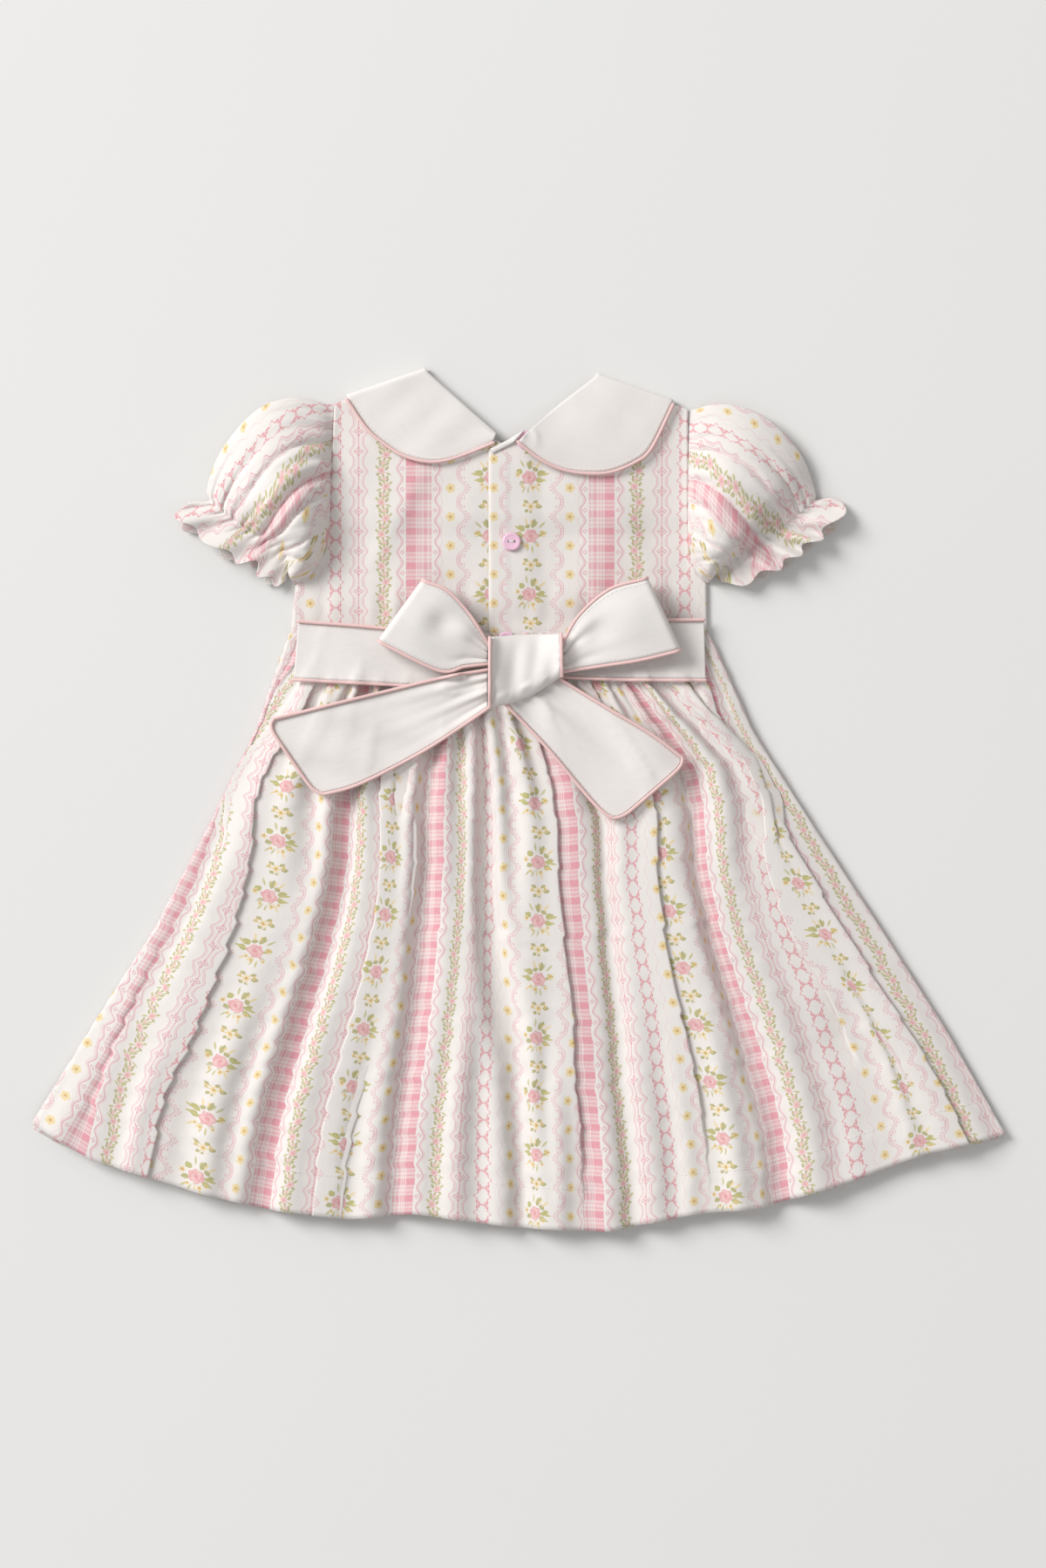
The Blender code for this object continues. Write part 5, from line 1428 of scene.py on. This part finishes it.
def sleeveGrid(edges, sway):
    half = sleeve["points"] // 2
    steps = np.arange(sleeve["points"])
    upper = steps < half
    even = np.where(upper, steps / half, 2 - steps / half)
    q = 0.6 * (0.5 - 0.5 * np.cos(math.pi * even)) + 0.4 * even
    heights = smoothPath([(at, h, 0) for at, h in sleeveRings], 200)
    bulge = np.clip(np.sin(math.pi * q), 0, 1)
    held = np.minimum(3 * bulge, 1)
    arm = sleevePlan(edges, 0.0, q)
    # towards the bodice, at the armhole
    inward = np.gradient(sleevePlan(edges, 0.0, np.linspace(0, 1, 60)), axis=0)
    inward = np.stack([-inward[:, 1], inward[:, 0]], axis=1) / np.linalg.norm(inward, axis=1, keepdims=True)
    bodiceMiddle = np.array([0.0, 190.0])
    inward *= np.sign(np.sum(inward[30] * (bodiceMiddle - arm.mean(axis=0))))
    inward = np.stack([np.interp(q, np.linspace(0, 1, 60), inward[:, k]) for k in (0, 1)], axis=1)
    seat = sleeve["tuckZ"] + smoothstep(*bodice["collarLiftFrom"], arm[:, 1]) * bodice["collarLift"]
    down = np.concatenate([
        np.linspace(0, 1, sleeve["rows"]), np.linspace(1, 2, sleeve["ruffleRows"] + 1)[1:]
    ])
    rows, uvRows = [], []
    for at in down:
        height = np.interp(at, heights[:, 0], heights[:, 1])
        middle = 0.34 * height
        place = sleevePlan(edges, at, q)
        wave = sleeve["armDepth"] * gatherWave(q, sleeve["armGathers"], sway, 0.5)
        wave = wave * math.exp(-((at / sleeve["armReach"]) ** 2))
        cuff = math.exp(-(((1 - at) / sleeve["cuffReach"][int(at >= 1)]) ** 2))
        wave += sleeve["elasticDepth"] * gatherWave(q, sleeve["elasticGathers"], sway + 2, 1.7) * cuff
        frill = float(smoothstep(1, 1.8, at))
        frillTurn = math.tau * (sleeve["ruffleWaves"] * q + 0.32 * np.sin(6.5 * q + sway)) + sway
        uneven = 0.75 + 0.45 * np.sin(4.1 * q + 2 * sway)
        wave += sleeve["ruffleDepth"] * np.sin(frillTurn) * uneven * frill
        shirr = math.exp(-(((at - 1) / sleeve["shirringReach"]) ** 2))
        wave += sleeve["shirring"] * np.sin(math.tau * sleeve["shirringLines"] * q) * shirr
        hidden, hiddenInAll = np.zeros_like(q), 0.0
        for start, end, depth, width, low, high in edges["creases"]:
            line = start + (end - start) * at + 0.015 * math.sin(5 * at + 9 * start)
            if depth < 0:
                hidden += smoothstep(line - width, line + width, q) * -depth * sleeve["takeUp"]
                hiddenInAll -= depth * sleeve["takeUp"]
            share = float(smoothstep(low - 0.12, low + 0.12, at) * smoothstep(high + 0.12, high - 0.12, at))
            wave += depth * peak(q, line, width) * share
        wave += 0.8 * np.sin(11 * q + 4 * at + sway) * math.sin(math.pi * min(at, 1)) ** 2
        top = middle + (height - middle) * bulge**0.75 + wave * held
        top = np.maximum(top, middle * 0.5 + 1.2)
        rooted = float(smoothstep(0, 0.04, at))
        top = seat * (1 - rooted) + top * rooted
        bottom = middle - (middle - sleeve["low"]) * bulge**0.4
        bottom = bottom * rooted + sleeve["low"] * (1 - rooted)
        bottom += 0.5 * held * (1 + np.sin(17 * q + 3 * at)) * min(at, 1)
        under = np.interp(at, [1.0, 2.0], [0, 1]) * held
        bottom += under * 1.4 * (1 + np.sin(frillTurn * 0.8 + 1))
        z = np.where(upper, top, bottom)
        tuck = sleeve["tuck"] * float(smoothstep(0.05, 0, at)) * np.where(upper, 1, -0.15)
        place = place + inward * tuck[:, None]
        # the ruffle's edge also waves in and out
        if at > 1:
            outward = sleevePlan(edges, 2.0, q) - sleevePlan(edges, 1.0, q)
            swing = np.where(upper, np.cos(frillTurn), -np.cos(frillTurn))
            place = place + outward * (sleeve["frillSway"] * frill * swing * held)[:, None]
        rows.append(np.stack([place[:, 0], place[:, 1], z], axis=1))
        # the stripes fan out from the crown; the under half goes on with the same cloth
        turn = np.interp(at, (0, 1), edges["crownPlace"]) + 14 * math.sin(math.pi * min(at, 1))
        underarm = np.interp(at, (0, 1), edges["underarmPlace"])
        plainly = turn + (underarm - turn) * even
        folded = turn + (underarm + hiddenInAll - turn) * even - hidden
        u = np.where(upper, folded, 2 * underarm - plainly)
        u = np.append(u, 2 * underarm - turn)
        uvRows.append(u)
    grid = np.stack(rows)
    length = np.cumsum(np.linalg.norm(np.diff(grid, axis=0, prepend=grid[:1]), axis=2), axis=0)
    length = blur(closedRound(length), 1.0, 2.0)
    return grid, np.dstack([np.stack(uvRows), -length])


for node, edges, sway in (("sleeve_left", sleeveLeft, 0.7), ("sleeve_right", sleeveRight, 3.1)):
    grid, uv = sleeveGrid(edges, sway)
    printed(node, grid, uv, (0.36, 0.15), outward=grid.mean(axis=1, keepdims=True))
print("sleeves made")

# Buttons
button = {
    "x": (4.5, -4.6, -8.0), "y": (237.5, 170.5, 104.9), "radius": 6.1, "holeRadius": 0.9,
    "holePitch": 3.4, "turns": 48, "holeTurns": 16,
    "thread": 0.33, "seat": 4.5, "clear": 0.15,
    # inset from the rim and height, from the underside to the dished face
    "profile": [(0.9, 0.0), (0.35, 0.1), (0.05, 0.5), (0.0, 1.1), (0.1, 1.7), (0.45, 2.15), (0.9, 2.35),
                (1.4, 2.3), (2.1, 2.15), (2.7, 2.05), (3.2, 2.0)],
}


def buttonMesh(number, x, y, base):
    turns, profile = button["turns"], button["profile"]
    angle = math.tau * np.arange(turns) / turns
    rings = []
    for inset, height in profile:
        radius = button["radius"] - inset
        level = np.full(turns, base + height)
        rings.append(np.stack([x + radius * np.cos(angle), y + radius * np.sin(angle), level], axis=1))
    grid = np.stack(rings)
    index = closedRound(np.arange(grid.size // 3).reshape(len(profile), turns))
    faces = gridFaces(index, True)
    caps = [index[0, :-1][::-1], index[-1, :-1]]
    made = meshObject(f"button-{number}-disc", grid.reshape(-1, 3), faces, buttonPlastic, caps=caps)
    for side in (-1, 1):
        bpy.ops.mesh.primitive_cylinder_add(
            vertices=button["holeTurns"], radius=button["holeRadius"] * mm, depth=8 * mm,
            location=((x + side * button["holePitch"] / 2) * mm, y * mm, base * mm),
        )
        cutter = bpy.context.object
        cut = made.modifiers.new("hole", "BOOLEAN")
        cut.operation, cut.object = "DIFFERENCE", cutter
        made.data = evaluatedMesh(made, cut)
        bpy.data.objects.remove(cutter, do_unlink=True)
    made.data.set_sharp_from_angle(angle=math.radians(40))
    # thread that goes through both holes, in two strands
    reach, turn = button["holePitch"] / 2, np.linspace(0, math.pi, 15)
    for strand, beside in ((1, -0.35), (2, 0.35)):
        across, height = x - reach * np.cos(turn), base + 1.0 + 1.15 * np.sin(turn) ** 0.6
        path = np.stack([across, np.full(15, y + beside), height], axis=1)
        thread = cordMesh(f"button-{number}-thread-{strand}", path, button["thread"], threadWhite, 8)
        thread.parent = made
    return made


rim = np.linspace(0, math.tau, 16, endpoint=False)
for number, (x, y) in enumerate(zip(button["x"], button["y"]), start=1):
    seat = pileTop(x + button["seat"] * np.cos(rim), y + button["seat"] * np.sin(rim))
    base = float(np.max(seat)) + button["clear"]
    keep(addToPile(buttonMesh(number, x, y, base)), f"button_{number}")
print("buttons made")

# Neck binding, collar
collar = {
    "along": 64, "across": 30, "rise": 0.4, "reach": 2.0, "soft": (5, 4), "roll": 2.6, "rollRings": 9,
    "crown": 0.9, "under": 0.5,
}
collarLeft = {
    "neck": [(-14.6, 242.0), (-37.0, 262.0), (-60.4, 283.0)],
    "edge": [(-16.8, 236.4), (-33.9, 229.4), (-48.3, 224.8), (-60.9, 224.0), (-75.9, 228.0),
             (-88.5, 236.0), (-100.0, 246.0), (-113.0, 265.0)],
    "under": [(-12.0, 220.0), (-44.0, 233.0), (-60.4, 283.0)],
    "underEdge": [(-12.0, 214.0), (-44.0, 200.0), (-80.0, 202.0), (-103.0, 230.0), (-113.0, 265.0)],
    "waves": [(0.35, 40, 35, 0.3), (0.22, 22, -50, 1.2)],
}
collarRight = {
    "neck": [(5.0, 241.4), (26.0, 260.6), (50.6, 279.6)],
    "edge": [(0.0, 236.6), (14.4, 225.4), (29.9, 218.5), (45.4, 216.2), (60.7, 217.1),
             (76.6, 223.6), (87.0, 232.6), (101.4, 261.6)],
    "under": [(-8.0, 220.0), (34.0, 231.0), (50.6, 279.6)],
    "underEdge": [(-8.0, 214.0), (33.0, 197.0), (69.0, 199.0), (93.0, 226.0), (101.4, 261.6)],
    "waves": [(0.35, 44, -40, 1.3), (0.22, 24, 50, 0.2)],
}
binding = {
    "top": [(-18.6, 231.6), (-6.0, 238.0), (3.6, 243.8)],
    "bottom": [(-17.4, 228.6), (-6.0, 234.4), (-1.6, 237.6)],
}


def outwardOf(edge, centre):
    # Direction away from a panel at each point of its edge, longer at a corner
    step = np.diff(edge[:, :2], axis=0)
    step /= np.maximum(np.linalg.norm(step, axis=1, keepdims=True), 1e-9)
    side = np.stack([step[:, 1], -step[:, 0]], axis=1)
    before, after = np.vstack([side[:1], side]), np.vstack([side, side[-1:]])
    mitre = (before + after) / (1 + np.sum(before * after, axis=1, keepdims=True))
    return mitre if np.sum((edge[:, :2] - centre[:2]) * mitre) > 0 else -mitre


def piping(node, path):
    made = cordMesh(panelName(node), path, cloth["pipeRadius"], pipingCotton)
    keep(addToPile(made), node)


def edgeCord(node, edge, centre):
    # Piping along an edge, on whatever lies under it
    radius = cloth["pipeRadius"]
    path = np.array(edge, float)
    path[:, :2] += outwardOf(path, centre) * (radius - 0.2)
    under = pileTop(path[:, 0], path[:, 1], radius * 0.8) + radius + 0.1
    path[:, 2] = np.maximum(path[:, 2], under)
    path[:, 2] = np.maximum(smoothLine(path[:, 2]), under)
    piping(node, path)


def plain(node, grid, flat, wall=cloth["linedWall"], area=None):
    made = clothShell(panelName(node), grid, surfaceUv(grid), wall, plainCotton)
    keep(addToPile(made), node)
    flatSizes[node] = (flat, area or clothArea(grid))


def liesOn(plan, sizes):
    clear = cloth["gap"] + cloth["linedWall"] / 2 + sizes["rise"]
    return layOn(plan, clear, sizes["reach"], sizes["soft"])


def rolledRings(top, bottom, reach, count):
    # Rings that carry the end of one layer round to the end of the layer below it
    line = top[-1, :2] - top[0, :2]
    out = np.array([-line[1], line[0]]) / np.linalg.norm(line)
    rings = []
    for turn in np.linspace(0.5, -0.5, count + 2)[1:-1]:
        angle = turn * math.pi
        ring = (top + bottom) / 2 + (top - bottom) / 2 * math.sin(angle)
        ring[:, :2] += out * reach * math.cos(angle)
        rings.append(ring)
    return rings


def doubled(upper, lower, side, sizes):
    # The upper layer, the roll at its end and the lower layer, as one grid
    flip = slice(None) if side == "left" else slice(None, None, -1)
    rings = rolledRings(upper[-1][flip], lower[-1][flip], sizes["roll"], sizes["rollRings"])
    return np.concatenate([upper, np.stack([ring[flip] for ring in rings]), lower[::-1]])


bindingPlan = ruled(binding["top"], binding["bottom"], 10, 40)
bindingLow = layOn(bindingPlan, cloth["gap"] + 0.4, 0.8, (2, 1))
bindingLow += 0.5 * np.sin(np.linspace(0, math.pi, 10))[None, :]
plain("neck_binding", np.dstack([bindingPlan, bindingLow]), (0.027, 0.01), wall=0.8, area=0.0001)

for side, sheet in (("left", collarLeft), ("right", collarRight)):
    plan = ruled(sheet["neck"], sheet["edge"], collar["across"], collar["along"])
    height = liesOn(plan, collar)
    bulge = np.sin(np.linspace(0, math.pi, collar["across"]))[None, :] ** 0.7
    height += collar["crown"] * bulge + waves(plan[:, :, 0], plan[:, :, 1], sheet["waves"]) * bulge
    upper = np.dstack([plan, height])
    lower = ruled(sheet["under"], sheet["underEdge"], collar["across"], 24)
    lower = np.dstack([lower, np.full(lower.shape[:2], collar["under"])])
    plain(f"collar_{side}", doubled(upper, lower, side, collar), (0.075, 0.19))
    stitchPanel(f"collar_{side}", "edge-stitches", upper[1:-1, 1])
    edgeCord(f"collar_piping_{side}", upper[:, 0], upper.reshape(-1, 3).mean(axis=0))
print("collar made")

# Sash and bow
sash = {
    "along": 110, "across": 26, "rise": 0.35, "reach": 2.5, "soft": (9, 6),
    "pinch": 0.9, "pinchReach": 22, "waves": [(0.3, 50, 10, 0.5), (0.2, 29, 70, 2.0)],
}
sashLeft = {
    "top": [(-145.6, 116.8), (-94.3, 112.8), (-20.5, 105.0)],
    "bottom": [(-148.4, 80.0), (-71.3, 75.8), (-20.5, 72.0)],
}
sashRight = {
    "top": [(122.6, 118.0), (84.0, 116.4), (29.6, 106.0)],
    "bottom": [(123.4, 79.6), (69.6, 80.0), (29.6, 81.6)],
}
loop = {
    "along": 46, "across": 28, "puff": 11.5, "root": 3.0, "roll": 3.4, "rollRings": 9,
    "rise": 0.7, "reach": 2.5, "soft": (6, 6),
    # creases that fade from the knot outwards: lines across, slant, shift, reach and depth
    "creases": [(2.6, 0.25, 0.1, 0.3, 1.1), (4.3, -0.2, 0.0, 0.22, 0.6)],
}
loopLeft = {
    "top": [(-20.3, 101.0), (-33.0, 121.0), (-47.0, 136.0), (-61.0, 142.0)],
    "bottom": [(-20.3, 90.5), (-36.0, 88.6), (-52.0, 86.0), (-89.0, 103.6)],
    "lumps": [(-51.2, 115.9, -2.6, 8.0), (-35.0, 111.0, 1.8, 8.0), (-66.0, 120.0, 1.2, 12.0)],
}
loopRight = {
    "top": [(29.4, 101.5), (40.6, 120.4), (60.0, 137.0), (82.0, 143.6)],
    "bottom": [(29.4, 85.5), (54.0, 89.0), (80.0, 93.0), (103.0, 98.4)],
    "lumps": [(52.0, 108.0, -1.8, 9.0), (74.0, 122.0, 1.4, 13.0), (44.0, 116.0, 1.2, 6.0)],
}
tail = {"along": 96, "across": 44, "rise": 0.4, "reach": 2.5, "soft": (8, 6), "corner": 0.035, "lift": 0.8,
        "pinchReach": 0.22}
tailLeft = {
    "top": [(-20.3, 84.6), (-48.9, 79.6), (-93.1, 69.0), (-165.5, 51.2)],
    "bottom": [(-20.3, 61.0), (-60.1, 34.6), (-104.1, 11.6), (-132.8, 3.4)],
    "waves": [(1.1, 46, 62, 0.4), (0.7, 27, 75, 1.9), (0.6, 60, 10, 0.0)],
}
tailRight = {
    "top": [(25.5, 79.5), (60.9, 57.8), (88.0, 41.6), (109.8, 25.0)],
    "bottom": [(-10.5, 66.0), (19.7, 34.4), (51.6, -3.2), (65.6, -13.2)],
    "waves": [(0.9, 44, 35, 1.4), (0.6, 25, 48, 0.2), (0.5, 62, -30, 1.0)],
}
knot = {
    "top": [(-18.0, 106.8), (4.0, 108.8), (27.0, 109.2)],
    "bottom": [(-18.0, 60.6), (6.0, 67.6), (27.6, 81.0)],
    "along": 46, "across": 46, "rise": 8.0, "round": 0.55, "reach": 3.0, "soft": (4, 5),
}


def shares(sizes):
    # Shares of the way along and across a panel
    return np.linspace(0, 1, sizes["along"])[:, None], np.linspace(0, 1, sizes["across"])[None, :]


for side, sheet, rootX in (("left", sashLeft, -21), ("right", sashRight, 30)):
    plan = ruled(sheet["top"], sheet["bottom"], sash["across"], sash["along"])
    height = liesOn(plan, sash)
    _, across = shares(sash)
    near = np.exp(-np.abs(plan[:, :, 0] - rootX) / sash["pinchReach"])
    height += sash["pinch"] * near * np.sin(math.tau * (3.2 * across + 0.3 * near))
    height += waves(plan[:, :, 0], plan[:, :, 1], sash["waves"])
    grid = np.dstack([plan, height])
    centre = grid.reshape(-1, 3).mean(axis=0)
    node = f"sash_{side}"
    plain(node, grid, (0.132, 0.04))
    for title, edge in (("lower", 1), ("upper", -2)):
        stitchPanel(node, f"{title}-stitches", grid[:, edge])
    edgeCord(f"sash_piping_{side}_lower", grid[:, 0], centre)
    edgeCord(f"sash_piping_{side}_upper", grid[:, -1], centre)

for side, sheet in (("left", loopLeft), ("right", loopRight)):
    plan = ruled(sheet["top"], sheet["bottom"], loop["across"], loop["along"])
    low = liesOn(plan, loop)
    low[:] = low.max(axis=1, keepdims=True)
    low = blur(low, 3, 0)
    out, across = shares(loop)
    openBy = smoothstep(-0.1, 0.85, out)
    lower = np.dstack([plan, low])
    lift = loop["root"] + (loop["puff"] - loop["root"]) * openBy * (0.72 + 0.28 * np.sin(math.pi * across))
    creases = sum(
        np.sin(math.tau * (lines * across + slant * out + shift)) * np.exp(-out / reach) * depth
        for lines, slant, shift, reach, depth in loop["creases"]
    )
    upper = np.dstack([plan, low + cloth["linedWall"] + lift + creases])
    for x, y, size, reach in sheet["lumps"]:
        upper[:, :, 2] += size * np.exp(-((plan[:, :, 0] - x) ** 2 + (plan[:, :, 1] - y) ** 2) / reach**2)
    grid = doubled(upper, lower, side, loop)
    plain(f"bow_loop_{side}", grid, (0.17, 0.06))
    for title, edge in (("lower", 1), ("upper", -2)):
        stitchPanel(f"bow_loop_{side}", f"{title}-stitches", upper[:, edge])
    centre = upper.reshape(-1, 3).mean(axis=0)
    for edge, title in ((0, "lower"), (-1, "upper")):
        away = outwardOf(upper[:, edge], centre)
        away = np.concatenate([away, np.repeat(away[-1:], loop["rollRings"], axis=0), away[::-1]])
        path = grid[:, edge].copy()
        path[:, :2] += away * (cloth["pipeRadius"] + 0.05)
        piping(f"bow_loop_piping_{side}_{title}", path)

for side, sheet in (("left", tailLeft), ("right", tailRight)):
    plan = ruled(sheet["top"], sheet["bottom"], tail["across"], tail["along"])
    # the end's corners are rounded
    along, across = shares(tail)
    inner = along * (1 - tail["corner"] * np.abs(2 * across - 1) ** 9 * smoothstep(0.7, 1.0, along))
    for j in range(tail["across"]):
        for k in (0, 1):
            plan[:, j, k] = np.interp(inner[:, j], along[:, 0], plan[:, j, k])
    height = liesOn(plan, tail)
    near = np.exp(-along / tail["pinchReach"])
    height += waves(plan[:, :, 0], plan[:, :, 1], sheet["waves"]) * smoothstep(0, 0.25, along) * 0.8
    height += near * (1.2 * np.sin(math.tau * (2.4 * across + 0.2)) + 0.5 * np.sin(math.tau * 5.1 * across))
    grid = np.dstack([plan, height + tail["lift"]])
    plain(f"bow_tail_{side}", grid, (0.16, 0.07))
    inset = np.concatenate([grid[:-1, -2], grid[-2, ::-1][2:-1], grid[-2::-1, 1]])
    stitchPanel(f"bow_tail_{side}", "edge-stitches", inset)
    rim = np.concatenate([grid[:, -1], grid[-1, ::-1][1:], grid[::-1, 0][1:]])
    edgeCord(f"bow_tail_piping_{side}", rim, grid.reshape(-1, 3).mean(axis=0))

plan = ruled(knot["top"], knot["bottom"], knot["across"], knot["along"])
height = layOn(plan, cloth["gap"] + cloth["linedWall"] / 2, knot["reach"], knot["soft"])
run = np.sin(np.linspace(0, math.pi, knot["across"]))[None, :] ** knot["round"]
along, across = shares(knot)
crease = 0.9 * np.sin(math.tau * (1.6 * along + 0.5 * across + 0.1))
crease = crease + 0.5 * np.sin(math.tau * (3.3 * along - 0.6 * across))
grid = np.dstack([plan, height + knot["rise"] * run + crease * run])
plain("bow_knot", grid, (0.05, 0.06))
centre = grid.reshape(-1, 3).mean(axis=0)
edgeCord("bow_knot_piping_left", grid[0], centre)
edgeCord("bow_knot_piping_right", grid[-1], centre)
print("bow made")

# Floor, light and camera
studio = {
    "floor": 6.0, "floorColour": (0.755, 0.748, 0.733), "cameraX": 0.0029, "cameraY": 0.01035,
    "cameraHeight": 3.012, "frameHeight": 1.0344, "keyEnergy": 830.0, "keySize": 4.2,
    "keyPlace": (-6.2, 4.0, 5.3), "fillEnergy": 3.0, "fillSize": 1.6, "fillPlace": (0.6, -0.9, 2.2),
    "skyStrength": 0.46, "measuredZ": 0.012,  # height at which the frame has its height
}


def floorFinish():
    made, tree, shader = newMaterial("floorPaper")
    grain = noiseField(tree, tree.nodes.new("ShaderNodeTexCoord").outputs["Object"], {"Scale": 3})
    light = studio["floorColour"]
    dark = tuple(c * 0.985 for c in light)
    tree.links.new(mixColour(tree, dark, light, grain), shader.inputs["Base Color"])
    shader.inputs["Roughness"].default_value = 0.9
    return made


edge = studio["floor"] / 2 / mm
corners = [(-edge, -edge, -0.2), (edge, -edge, -0.2), (edge, edge, -0.2), (-edge, edge, -0.2)]
floor = meshObject("floor", corners, [(0, 1, 2, 3)], floorFinish())


def areaLight(name, place, energy, size):
    lamp = bpy.data.lights.new(name, "AREA")
    lamp.energy, lamp.size = energy, size
    made = bpy.data.objects.new(name, lamp)
    made.location = place
    made.rotation_euler = (-Vector(place)).to_track_quat("-Z", "Y").to_euler()
    bpy.context.scene.collection.objects.link(made)


areaLight("keyLight", studio["keyPlace"], studio["keyEnergy"], studio["keySize"])
areaLight("fillLight", studio["fillPlace"], studio["fillEnergy"], studio["fillSize"])
world = bpy.data.worlds.new("studioSky")
world.use_nodes = True
sky = {"Color": (1.0, 1.0, 1.0, 1), "Strength": studio["skyStrength"]}
setInputs(world.node_tree.nodes["Background"], sky)
bpy.context.scene.world = world
bpy.context.scene.view_settings.view_transform = "Standard"

camera = bpy.data.objects.new("camera", bpy.data.cameras.new("camera"))
camera.location = (studio["cameraX"], studio["cameraY"], studio["cameraHeight"])
camera.data.sensor_fit = "VERTICAL"
away = studio["cameraHeight"] - studio["measuredZ"]
camera.data.angle_y = 2 * math.atan(studio["frameHeight"] / 2 / away)
bpy.context.scene.collection.objects.link(camera)
bpy.context.scene.camera = camera

# Which sheets of cloth are gathered or folded, and each sheet's area held to no more than its cut; these
# values go no further
held = {
    **dict.fromkeys(("skirt_back", "skirt_front", "sleeve_left", "sleeve_right"), "gathered"),
    **dict.fromkeys(("bow_loop_left", "bow_loop_right", "bow_knot"), "folded"),
}
for node, (flat, area) in flatSizes.items():
    area = None if area is None else min(area, flat[0] * flat[1])

print("scene done")
